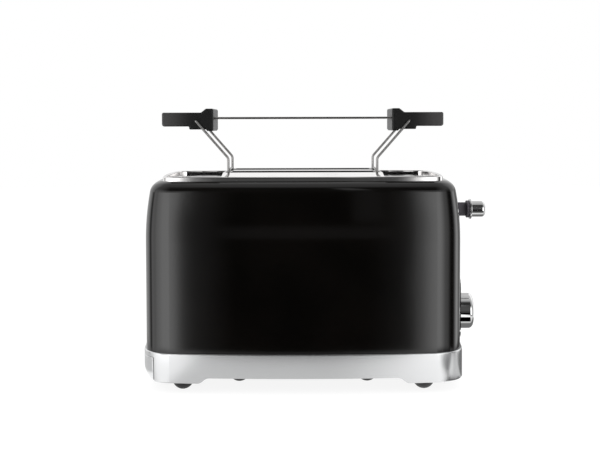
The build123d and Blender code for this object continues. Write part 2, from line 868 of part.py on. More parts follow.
def make_carriage_bracket():
    sheet = (carriage_x, carriage_out_x)
    arm_z = (lift_low_z, lift_low_z + carriage_arm_height)
    bracket = block(sheet, (-carriage_half_width, carriage_half_width), (lift_low_z, carriage_top_z))
    bracket += block(sheet, (-carriage_arm_half_width, carriage_arm_half_width), arm_z)
    spring_edge = spring_y - spring_arm_margin
    wing_z = (spring_arm_z - carriage_arm_height, spring_arm_z + spring_arm_thickness)
    bracket += block(sheet, (spring_edge, 0), wing_z)
    arm_x = (carriage_x, rod_x + spring_arm_margin)
    arm_y = (spring_edge, spring_y + spring_arm_margin)
    bracket += block(arm_x, arm_y, (spring_arm_z, spring_arm_z + spring_arm_thickness))
    boss_x = (carriage_x, rod_x + rod_boss_half)
    for side in (-1, 1):
        boss_y = (side * rod_offset_y - rod_boss_half, side * rod_offset_y + rod_boss_half)
        for z in (lift_low_z, lever_low_z - rod_boss_height):
            bracket += block(boss_x, boss_y, (z, z + rod_boss_height))
        bore_z = (lift_low_z - past_face, carriage_top_z)
        bracket -= rod_up(rod_x, side * rod_offset_y, bore_z, rod_radius + running_gap)
    arm_z = (armature_top_z, armature_top_z + armature_arm_thickness)
    bracket += block((carriage_x, magnet_x + armature_half_length),
                     (-armature_half_width, armature_half_width), arm_z)
    bracket += block((carriage_x, contact_x + contact_half_length),
                     (contact_y - pusher_half_width, contact_y + pusher_half_width),
                     (pusher_z, pusher_z + pusher_height))
    return bracket


def make_bread_lift(side):
    y = side * slot_y
    thin = lift_thickness / 2
    lift = block((-chassis_out_x - bar_overhang, carriage_x), (y - thin, y + thin), (lift_low_z, lift_top_z))
    for x in spread(lift_fin_reach, lift_fin_count):
        lift += block((x - lift_fin_thickness / 2, x + lift_fin_thickness / 2),
                      (y - lift_fin_half_width, y + lift_fin_half_width),
                      (lift_low_z + lift_fin_step, lift_top_z))
    return lift


def make_lever_arm():
    thin = lever_thickness / 2
    arm = block((carriage_out_x, lever_end_x), (-thin, thin), (lever_low_z, lever_high_z))
    end = Rot(0, 90, 0) * extrude(Circle(lever_end_height / 2), lever_end_length)
    return arm + Pos(lever_end_x - lever_end_length, 0, lever_z) * end


def turned_along(x, z, points_and_arcs):
    """Solid turned about a line along X, from a section in distance along and radius."""
    section = Plane(origin=(x, 0, z), x_dir=(1, 0, 0), z_dir=(0, -1, 0)) * make_face(points_and_arcs)
    return revolve(section, Axis((x, 0, z), (1, 0, 0)), 360)


def make_lever_collar():
    turn = collar_round * (1 - math.sqrt(0.5))
    length, radius, soft = collar_length, collar_radius, collar_round
    return turned_along(lever_end_x, lever_z, [
        Line((0, 0), (0, radius - soft)),
        ThreePointArc((0, radius - soft), (turn, radius - turn), (soft, radius)),
        Line((soft, radius), (length - soft, radius)),
        ThreePointArc((length - soft, radius), (length - turn, radius - turn), (length, radius - soft)),
        Line((length, radius - soft), (length, 0)),
        Line((length, 0), (0, 0)),
    ])


def make_lever_knob():
    length, radius, soft = knob_grip_length, knob_grip_radius, knob_grip_round
    turn = soft * (1 - math.sqrt(0.5))
    return turned_along(collar_end_x, lever_z, [
        Line((0, 0), (0, radius)),
        Line((0, radius), (length - soft, radius)),
        ThreePointArc((length - soft, radius), (length - turn, radius - turn), (length, radius - soft)),
        Line((length, radius - soft), (length, 0)),
        Line((length, 0), (0, 0)),
    ])


def make_guide_rods():
    return Compound([rod_up(rod_x, side * rod_offset_y, (pan_top_z, bracket_z + bracket_sheet), rod_radius)
                     for side in (-1, 1)])


def make_top_bracket():
    sheet_z = (bracket_z, bracket_z + bracket_sheet)
    bracket = block((chassis_out_x, rod_x + bracket_past_rod),
                    (-bracket_half_width, bracket_half_width), sheet_z)
    bracket += block((chassis_out_x, chassis_out_x + bracket_sheet),
                     (-bracket_half_width, bracket_half_width), (bracket_z - bracket_flange, bracket_z))
    for y, direction in guard_places.values():
        track = sorted((y, y + direction * guard_travel))
        free = guard_bar_radius + slide_gap
        bracket -= block((chassis_out_x, chassis_out_x + bar_overhang + slide_gap),
                         (track[0] - free, track[1] + free), (guard_high_z - free, guard_high_z + free))
    for side in (-1, 1):
        bore_z = (bracket_z - past_face, bracket_z + bracket_sheet + past_face)
        bracket -= rod_up(rod_x, side * rod_offset_y, bore_z, rod_radius + running_gap)
    return bracket


def make_return_spring():
    low = spring_arm_z + spring_arm_thickness + spring_wire_radius + touch_gap
    high = bracket_z - spring_wire_radius - touch_gap
    pitch = (high - low) / spring_turns
    line = Pos(rod_x, spring_y, low) * Helix(pitch, high - low, spring_coil_radius)
    start = Plane(origin=line @ 0, z_dir=line % 0)
    print("least gap between the spring's turns", round(least_turn_gap(line), 2))
    return sweep(start * Circle(spring_wire_radius), path=line, is_frenet=True)


def least_turn_gap(line):
    """Least gap between one turn of the spring and the next, measured on points along its wire."""
    per_turn = 24
    points = [line @ (step / (per_turn * spring_turns)) for step in range(per_turn * spring_turns + 1)]
    pairs = zip(points, points[per_turn:])
    return min((near - far_point).length for near, far_point in pairs) - 2 * spring_wire_radius


def make_armature():
    return block((magnet_x - armature_half_length, magnet_x + armature_half_length),
                 (-armature_half_width, armature_half_width), (armature_bottom_z, armature_top_z))


def make_magnet_bracket():
    half = magnet_base_half
    return block((magnet_x - half, magnet_x + half), (-half, half),
                 (pan_top_z, pan_top_z + magnet_base_thickness))


def make_magnet_core():
    return rod_up(magnet_x, 0, (pan_top_z + magnet_base_thickness, core_top_z), core_radius)


def make_magnet_coil():
    low = pan_top_z + magnet_base_thickness
    coil = rod_up(magnet_x, 0, (low, low + coil_height), coil_radius)
    for z in (low, low + coil_height - bobbin_flange):
        coil += rod_up(magnet_x, 0, (z, z + bobbin_flange), bobbin_radius)
    return coil - rod_up(magnet_x, 0, (low, low + coil_height), core_radius + running_gap)


def make_contact_block():
    return block((contact_x - contact_half_length, contact_x + contact_half_length),
                 (contact_y - contact_half_width, contact_y + contact_half_width),
                 (pan_top_z, pan_top_z + contact_block_height))


def make_contact_leaves():
    low = pan_top_z + contact_block_height
    leaves = []
    for side in (-1, 1):
        x = contact_x + side * contact_half_length / 2
        leaves.append(block((x - contact_leaf_thickness / 2, x + contact_leaf_thickness / 2),
                            (contact_y - contact_leaf_half_width, contact_y + contact_leaf_half_width),
                            (low, low + contact_leaf_height)))
    return Compound(leaves)


# Control panel, knob, buttons and control board


def make_control_panel():
    low, high = panel_bottom_z, panel_top_z
    section = make_face(Polyline((touch_gap, low), (touch_gap + panel_sheet, low),
                                 (touch_gap + panel_sheet, high), (touch_gap, high), close=True))
    through = end_cut_range()
    window = Plane.YZ * RectangleRounded(2 * panel_half_width, high - low, panel_corner)
    window = Pos(through[0], 0, (low + high) / 2) * extrude(window, through[1] - through[0])
    panel = ring(section) & window
    panel -= rod_along(through, 0, dial_z, shaft_hole_radius)
    for y in button_places:
        panel -= rod_along(through, y, button_z, button_radius + slide_gap)
    return panel


def make_browning_knob():
    start = dial_end_x - dial_length
    length, radius, soft = dial_length, dial_radius, dial_round
    turn = soft * (1 - math.sqrt(0.5))
    inner, back = radius - dial_wall, length - dial_face
    bore = shaft_radius + touch_gap
    knob = turned_along(start, dial_z, [
        Line((0, bore), (0, dial_hub_radius)),
        Line((0, dial_hub_radius), (back, dial_hub_radius)),
        Line((back, dial_hub_radius), (back, inner)),
        Line((back, inner), (0, inner)),
        Line((0, inner), (0, radius)),
        Line((0, radius), (length - soft, radius)),
        ThreePointArc((length - soft, radius), (length - turn, radius - turn), (length, radius - soft)),
        Line((length, radius - soft), (length, 0)),
        Line((length, 0), (back, 0)),
        Line((back, 0), (back, bore)),
        Line((back, bore), (0, bore)),
    ])
    return knob - dial_marker(touch_gap)


def dial_marker(gap=0.0):
    """Inlaid line that points up from the knob's middle, or its groove with a gap round it."""
    half = dial_marker_width / 2 + gap
    top = dial_radius - dial_round
    return block((dial_end_x - dial_marker_depth - gap, dial_end_x + gap), (-half, half),
                 (dial_z + top - dial_marker_length - gap, dial_z + top + gap))


def make_knob_shaft():
    inner = pcb_out_x + pot_depth + slide_gap
    return rod_along((inner, dial_end_x - dial_face - running_gap), 0, dial_z, shaft_radius)


def make_potentiometer():
    case = rod_along((pcb_out_x, pcb_out_x + pot_depth), 0, dial_z, pot_radius)
    bush_x = (pcb_out_x + pot_depth, pcb_out_x + pot_depth + pot_bush_length)
    bush = rod_along(bush_x, 0, dial_z, pot_bush_radius)
    return case + bush - rod_along(bush_x, 0, dial_z, shaft_radius + running_gap)


def make_button(y):
    face = end_x(y) + panel_sheet + touch_gap
    inner = end_x(abs(y) + button_radius + button_flange, shell_wall) - slide_gap
    tip = pcb_out_x + switch_floor + button_travel + slide_gap
    flange = rod_along((inner - button_flange_thickness, inner), y, button_z, button_radius + button_flange)
    cap = rod_along((inner, face + button_proud), y, button_z, button_radius)
    rim = cap.edges().sort_by(Axis.X)[-1]
    stem = rod_along((tip, inner - button_flange_thickness), y, button_z, button_stem_radius)
    return fillet(rim, button_round) + flange + stem


def make_push_switches():
    switches = []
    for y in button_places:
        case = block((pcb_out_x, pcb_out_x + switch_depth), (y - switch_half, y + switch_half),
                     (button_z - switch_half, button_z + switch_half))
        bore = rod_along((pcb_out_x + switch_floor, pcb_out_x + switch_depth), y, button_z,
                         button_stem_radius + running_gap)
        switches.append(case - bore)
    return Compound(switches)


def make_control_board():
    return block((pcb_x, pcb_out_x), (-pcb_half_width, pcb_half_width), (pcb_bottom_z, pcb_top_z))


def make_board_components():
    relay = block((pcb_x - relay_depth, pcb_x), (relay_y - relay_half, relay_y + relay_half),
                  (relay_z - relay_half, relay_z + relay_half))
    capacitor = rod_along((pcb_x - capacitor_depth, pcb_x), capacitor_y, capacitor_z, capacitor_radius)
    return Compound([relay, capacitor])


# Mains side


def make_cord_gland():
    low_flange = (pan_floor_z - gland_flange_height, pan_floor_z)
    high_flange = (pan_top_z, pan_top_z + gland_flange_height)
    gland = rod_up(gland_x, gland_y, (low_flange[0], high_flange[1]), gland_neck_radius)
    gland += rod_up(gland_x, gland_y, low_flange, gland_flange_radius)
    gland += rod_up(gland_x, gland_y, high_flange, gland_flange_radius)
    return gland - rod_up(gland_x, gland_y, (0, lead_z), gland_bore_radius)


def make_mains_leads():
    leads = []
    for place in (-1, 0, 1):
        x = gland_x + place * lead_pitch
        points = [(x, gland_y, pan_floor_z), (x, gland_y, lead_z),
                  (x, terminal_y - terminal_half_width, lead_z)]
        leads.append(tube(points, lead_bend, lead_radius))
    return Compound(leads)


def make_terminal_block():
    length, width = terminal_half_length, terminal_half_width
    return block((terminal_x - length, terminal_x + length), (terminal_y - width, terminal_y + width),
                 (pan_top_z, pan_top_z + terminal_height))


def make_heater_leads():
    leads = []
    for side in (-1, 1):
        y = terminal_y + side * heater_lead_offset
        points = [(terminal_x, y, pan_top_z + terminal_height), (terminal_x, y, heater_lead_z),
                  (chassis_out_x, y, heater_lead_z)]
        leads.append(tube(points, heater_lead_bend, lead_radius))
    return Compound(leads)


# Bun rack


def make_rack_wires():
    end = handle_inner_x + rack_socket
    return Compound([rod_along((-end, end), y, rack_wire_z, rack_wire_radius)
                     for y in spread(rack_wire_half_span, rack_wire_count)])


def make_rack_leg(side):
    """One bent wire: from a pin in the handle down into the front slot, over the bridge and up again."""
    pin_x, foot_x = side * leg_pin_x, side * leg_x
    pin_y = handle_half_depth - leg_pin_depth
    half = [(pin_x, -pin_y, leg_pin_z), (pin_x, -leg_y, leg_pin_z), (foot_x, -leg_y, leg_bend_z),
            (foot_x, -leg_y, leg_low_z), (foot_x, -leg_hump_half, leg_hump_z)]
    other = [(x, -y, z) for x, y, z in reversed(half)]
    bends = [leg_pin_bend, leg_bend, leg_tight_bend, leg_tight_bend]
    return tube(half + other, bends + bends[::-1], leg_radius)


def make_rack_handle(side):
    """Grip and end block in one moulding, drawn for the right end and mirrored for the left."""
    outer, low, top = handle_outer_x, handle_low_z, handle_top_z
    block_x, inner_x, chamfer = handle_block_x, handle_inner_x, handle_block_chamfer
    soft, tight, step_round = handle_corner_round, handle_tight_round, handle_step_round
    corners = [
        ((handle_ramp_x, top), handle_ramp_round),
        ((outer, top), soft),
        ((outer, low), handle_nose_round),
        ((handle_step_x, low), step_round),
        ((handle_step_x, handle_step_z), step_round),
        ((block_x, handle_step_z), tight),
        ((block_x - chamfer, handle_block_low_z), tight),
        ((inner_x + chamfer, handle_block_low_z), tight),
        ((inner_x, handle_step_z), tight),
        ((inner_x, handle_block_top_z), soft),
        ((block_x, handle_block_top_z), soft),
    ]
    points = [point for point, bend in corners]
    bends = [bend for point, bend in corners]
    section = make_face(FilletPolyline(*points, radius=bends, close=True).edges())
    handle = extrude(Plane.XZ * section, handle_half_depth, both=True)
    rims = handle.edges().filter_by(lambda edge: abs(abs(edge.center().Y) - handle_half_depth) < touch_gap)
    handle = fillet(rims, handle_edge_round)
    end = inner_x + rack_socket
    for y in spread(rack_wire_half_span, rack_wire_count):
        handle -= rod_along((inner_x - past_face, end), y, rack_wire_z, rack_wire_radius + touch_gap)
    for end_side in (-1, 1):
        pin_y = sorted((end_side * (handle_half_depth - leg_pin_depth), end_side * leg_y))
        pin = Pos(leg_pin_x, (pin_y[0] + pin_y[1]) / 2, leg_pin_z) * (
            Rot(90, 0, 0) * Cylinder(leg_radius + touch_gap, pin_y[1] - pin_y[0]))
        handle -= pin
    return handle if side > 0 else mirror(handle, Plane.YZ)


# Every piece under the name that it goes by

chassis_right = make_chassis_plate()
parts = {
    "body_shell": make_body_shell(),
    "skirt": make_skirt(),
    "top_plate": make_top_plate(),
    "base_pan": make_base_pan(),
    "outer_feet": make_feet(outer_feet),
    "inner_feet": make_feet(inner_feet),
    "base_screws": make_base_screws(),
    "crumb_tray": make_crumb_tray(),
    "crumb_tray_front": make_tray_front(),
    "chassis_plate_right": chassis_right,
    "chassis_plate_left": mirror(chassis_right, Plane.YZ),
    "heat_shield_front": make_heat_shield(-1),
    "heat_shield_rear": make_heat_shield(1),
    "top_bracket": make_top_bracket(),
    "guide_rods": make_guide_rods(),
    "return_spring": make_return_spring(),
    "carriage_bracket": make_carriage_bracket(),
    "bread_lift_front": make_bread_lift(-1),
    "bread_lift_rear": make_bread_lift(1),
    "lever_arm": make_lever_arm(),
    "lever_collar": make_lever_collar(),
    "lever_knob": make_lever_knob(),
    "armature": make_armature(),
    "magnet_bracket": make_magnet_bracket(),
    "magnet_core": make_magnet_core(),
    "magnet_coil": make_magnet_coil(),
    "contact_block": make_contact_block(),
    "contact_leaves": make_contact_leaves(),
    "control_panel": make_control_panel(),
    "browning_knob": make_browning_knob(),
    "knob_marker": dial_marker(),
    "knob_shaft": make_knob_shaft(),
    "potentiometer": make_potentiometer(),
    "push_switches": make_push_switches(),
    "control_board": make_control_board(),
    "board_components": make_board_components(),
    "cord_gland": make_cord_gland(),
    "mains_leads": make_mains_leads(),
    "terminal_block": make_terminal_block(),
    "heater_leads": make_heater_leads(),
    "rack_wires": make_rack_wires(),
    "rack_leg_left": make_rack_leg(-1),
    "rack_leg_right": make_rack_leg(1),
    "rack_handle_left": make_rack_handle(-1),
    "rack_handle_right": make_rack_handle(1),
}
for name, y in board_places.items():
    parts[f"heater_board_{name}"] = make_heater_board(y)
    parts[f"heater_winding_{name}"] = make_winding(y)
for name, (y, direction) in guard_places.items():
    parts[f"bread_guard_{name}"] = make_guard(y)
for name, y in zip(("cancel", "reheat", "defrost"), button_places):
    parts[f"button_{name}"] = make_button(y)

to_origin = Pos(-origin_x, 0, 0)
for name, piece in parts.items():
    export_step(to_origin * piece, f"parts/{name}.step")
print(len(parts), "pieces written")
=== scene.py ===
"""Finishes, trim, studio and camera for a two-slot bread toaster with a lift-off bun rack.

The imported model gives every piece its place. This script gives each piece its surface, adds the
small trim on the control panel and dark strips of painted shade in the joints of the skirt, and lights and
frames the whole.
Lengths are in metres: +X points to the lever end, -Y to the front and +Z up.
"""

import json
import logging
import math
from dataclasses import dataclass, field
from enum import Enum
from typing import Callable

import bmesh
import bpy
from mathutils import Matrix, Vector

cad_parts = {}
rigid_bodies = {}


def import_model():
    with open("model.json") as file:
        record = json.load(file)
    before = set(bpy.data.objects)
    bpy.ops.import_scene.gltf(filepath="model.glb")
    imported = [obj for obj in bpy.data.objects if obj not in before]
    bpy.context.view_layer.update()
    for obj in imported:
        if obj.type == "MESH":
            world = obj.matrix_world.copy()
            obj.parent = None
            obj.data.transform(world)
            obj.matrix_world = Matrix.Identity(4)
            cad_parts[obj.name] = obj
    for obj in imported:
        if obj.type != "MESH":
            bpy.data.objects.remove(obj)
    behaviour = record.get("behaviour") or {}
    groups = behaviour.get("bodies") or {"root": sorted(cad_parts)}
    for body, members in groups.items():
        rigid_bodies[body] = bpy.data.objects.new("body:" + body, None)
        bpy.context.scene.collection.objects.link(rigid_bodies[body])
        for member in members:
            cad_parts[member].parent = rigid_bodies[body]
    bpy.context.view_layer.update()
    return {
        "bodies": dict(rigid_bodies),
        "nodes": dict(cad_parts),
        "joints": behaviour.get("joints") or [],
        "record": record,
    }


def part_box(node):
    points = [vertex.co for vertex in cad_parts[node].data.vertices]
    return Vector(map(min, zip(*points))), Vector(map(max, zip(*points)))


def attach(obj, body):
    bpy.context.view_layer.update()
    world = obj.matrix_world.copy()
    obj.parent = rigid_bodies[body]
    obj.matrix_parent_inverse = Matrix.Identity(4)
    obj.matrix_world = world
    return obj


log = logging.getLogger("toaster")

Colour = tuple[float, float, float]
Levels = tuple[tuple[float, float], ...]

# Where something starts, at 0, and where it has its full strength
Band = tuple[float, float]

MM = 0.001
MICRON = 0.000001
SHARP_ANGLE = math.radians(38)
END_BOW_RADIUS = 500 * MM

# Brightness round the horizon by the angle from the front: soft boxes at both sides and dark cards
LEFT_LEVELS: Levels = (
    (0, 0.0), (10, 0.0), (12.5, 0.05), (14, 0.1), (15.5, 0.15), (16.4, 0.2), (17.1, 0.28), (17.5, 0.5),
    (17.9, 1.1), (18.25, 1.9), (18.6, 2.45), (19.2, 2.6), (26, 2.6), (45, 2.5), (60, 2.0), (70, 1.7),
    (80, 1.2), (96, 1.1), (102, 0.3), (109, 0.2), (116, 0.9), (128, 1.1), (140, 0.9), (160, 0.75),
    (180, 0.75),
)
RIGHT_LEVELS: Levels = (
    (0, 0.0), (10, 0.0), (12.5, 0.04), (14, 0.07), (15, 0.11), (16, 0.21), (17, 0.58), (17.6, 0.96),
    (18.2, 1.7), (19, 2.35), (19.7, 2.6), (30, 2.6), (34, 2.5), (38, 2.2), (42.5, 1.85), (47, 1.5),
    (51, 1.2), (55, 1.0), (62, 0.85), (69, 0.52), (74, 0.16), (82, 0.03), (90, 0.05), (96, 0.3),
    (103, 1.2), (110, 1.8), (118, 1.9), (127, 0.6), (142, 0.4), (165, 0.75), (180, 0.75),
)
ROOM_LEVELS: Levels = ((0, 0.03), (22, 0.03), (45, 0.3), (70, 0.55), (120, 0.65), (180, 0.55))


def case_middle_x() -> float:
    """Middle of the case along X.

    Returns:
        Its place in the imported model's frame.
    """
    low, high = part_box("body_shell")
    return (low.x + high.x) / 2


class Value:
    """A shader socket that takes part in Python arithmetic, each operation adding one Math node."""

    def __init__(self, graph: "Graph", socket: bpy.types.NodeSocket | None) -> None:
        """Keeps the graph that new nodes go to and the socket that is wrapped."""
        self.graph = graph
        self.socket = socket

    def _math(self, operation: str, *values: "Value | float") -> "Value":
        """Adds a Math node.

        Args:
            operation: Name of the Math node's operation.
            values: Its inputs in order, numbers or wrapped sockets.

        Returns:
            The node's result.
        """
        return self.graph.node("ShaderNodeMath", {"operation": operation}, dict(enumerate(values)))

    def __add__(self, other: "Value | float") -> "Value":
        """Sum."""
        return self._math("ADD", self, other)

    __radd__ = __add__

    def __sub__(self, other: "Value | float") -> "Value":
        """Difference."""
        return self._math("SUBTRACT", self, other)

    def __rsub__(self, other: "Value | float") -> "Value":
        """Difference from a number."""
        return self._math("SUBTRACT", other, self)

    def __mul__(self, other: "Value | float") -> "Value":
        """Product."""
        return self._math("MULTIPLY", self, other)

    __rmul__ = __mul__

    def __truediv__(self, other: "Value | float") -> "Value":
        """Quotient."""
        return self._math("DIVIDE", self, other)

    def __pow__(self, other: "Value | float") -> "Value":
        """Power."""
        return self._math("POWER", self, other)

    def __abs__(self) -> "Value":
        """Absolute value."""
        return self._math("ABSOLUTE", self)

    def sine(self) -> "Value":
        """Sine of the value in radians."""
        return self._math("SINE", self)

    def at_least(self, other: "Value | float") -> "Value":
        """The larger of the two."""
        return self._math("MAXIMUM", self, other)

    def ramp(self, low: float, high: float) -> "Value":
        """Soft step from 0 at one value to 1 at another.

        Args:
            low: Value at which the step starts, where the result is 0.
            high: Value at which the step ends, where the result is 1.

        Returns:
            The step, between 0 and 1.
        """
        settings = {"interpolation_type": "SMOOTHSTEP"}
        if low < high:
            inputs = {"Value": self, "From Min": low, "From Max": high, "To Min": 0.0, "To Max": 1.0}
        else:
            inputs = {"Value": self, "From Min": high, "From Max": low, "To Min": 1.0, "To Max": 0.0}
        return self.graph.node("ShaderNodeMapRange", settings, inputs)


Input = Value | float | tuple


class Graph:
    """The node tree of one material or world, built through a single method that makes nodes."""

    def __init__(self, tree: bpy.types.NodeTree) -> None:
        """Empties the tree and keeps it."""
        self.tree = tree
        tree.nodes.clear()

    def node(self, kind: str, settings: dict | None = None, inputs: dict | None = None,
             output: str | int = 0) -> Value:
        """Makes a node, sets it up and connects it.

        Args:
            kind: Blender's name of the node type.
            settings: Properties set on the node. Stops are given as (position, colour) pairs.
            inputs: Values or wrapped sockets by the input's name or index.
            output: Name or index of the output that is returned.

        Returns:
            The chosen output.
        """
        made = self.tree.nodes.new(kind)
        for name, value in (settings or {}).items():
            if name == "stops":
                self._set_stops(made.color_ramp, value)
            else:
                setattr(made, name, value)
        for name, value in (inputs or {}).items():
            if isinstance(value, Value):
                self.tree.links.new(value.socket, made.inputs[name])
            else:
                made.inputs[name].default_value = value
        return Value(self, made.outputs[output] if len(made.outputs) else None)

    @staticmethod
    def _set_stops(ramp: bpy.types.ColorRamp, stops: list[tuple[float, Colour]]) -> None:
        """Gives a colour ramp its stops.

        Args:
            ramp: Ramp of the node.
            stops: Positions from 0 to 1 with their colours, in order.
        """
        while len(ramp.elements) > 1:
            ramp.elements.remove(ramp.elements[-1])
        for index, (position, colour) in enumerate(stops):
            element = ramp.elements[0] if index == 0 else ramp.elements.new(position)
            element.position = position
            element.color = (*colour, 1.0)

    def place(self, scale: tuple[float, float, float] = (1.0, 1.0, 1.0)) -> Value:
        """Object coordinates, stretched along each axis.

        Args:
            scale: Factor along X, Y and Z.

        Returns:
            The stretched position.
        """
        where = self.node("ShaderNodeTexCoord", output="Object")
        return self.node("ShaderNodeMapping", inputs={"Vector": where, "Scale": scale})

    def axis(self, vector: Value, name: str) -> Value:
        """One axis of a vector, by its letter."""
        return self.node("ShaderNodeSeparateXYZ", inputs={"Vector": vector}, output=name)

    def noise(self, where: Value, scale: float, detail: float = 3.0, rough: float = 0.55) -> Value:
        """Noise between 0 and 1.

        Args:
            where: Position that the noise is read at.
            scale: Number of features in a metre.
            detail: Number of finer layers.
            rough: Strength of the finer layers.

        Returns:
            The noise.
        """
        inputs = {"Vector": where, "Scale": scale, "Detail": detail, "Roughness": rough}
        return self.node("ShaderNodeTexNoise", inputs=inputs, output="Fac")

    def blend(self, factor: Input, first: Input, second: Input) -> Value:
        """Mixes two colours.

        Args:
            factor: Share of the second colour.
            first: Colour at 0.
            second: Colour at 1.

        Returns:
            The mixed colour.
        """
        settings = {"data_type": "RGBA"}
        inputs = {"Factor": factor, 6: self._rgba(first), 7: self._rgba(second)}
        return self.node("ShaderNodeMix", settings, inputs, output=2)

    @staticmethod
    def _rgba(colour: Input) -> Input:
        """A colour with its alpha, or the socket as it is."""
        return colour if isinstance(colour, Value) else (*colour, 1.0)


# Colour, roughness, height of the relief and the relief's depth in metres
Surface = tuple[Value, Value, Value, float]


class Grain(Enum):
    """How a finish varies over its surface, beside its colour and its roughness."""

    ENAMEL = "sprayed and stoved enamel with a faint orange peel"
    POLISHED = "mirror polish with hair scratches and thumb marks"
    BRUSHED_LEVEL = "fine lines that run level round the piece"
    DRAWN_WIRE = "drawn wire with fine pits and dull stretches"
    SPANGLE = "zinc crystals"
    MOULDED = "spark-eroded mould grain"
    # Painted highlight: the grip's colour turns paler towards the ends of the rack, as light from the sides
    # would show it
    GRIP_SHEEN = "spark-eroded mould grain, worn paler towards the ends of the rack"
    RUBBER = "matt rubber with dust in patches"
    MICA = "pressed mica flakes"
    SCALE = "oxide scale from heat"
    WOUND = "turns of fine wire lying on each other"
    SLEEVE = "woven sleeve"
    LAMINATE = "board with copper tracks under lacquer"
    CAST = "fine cast or ground surface"


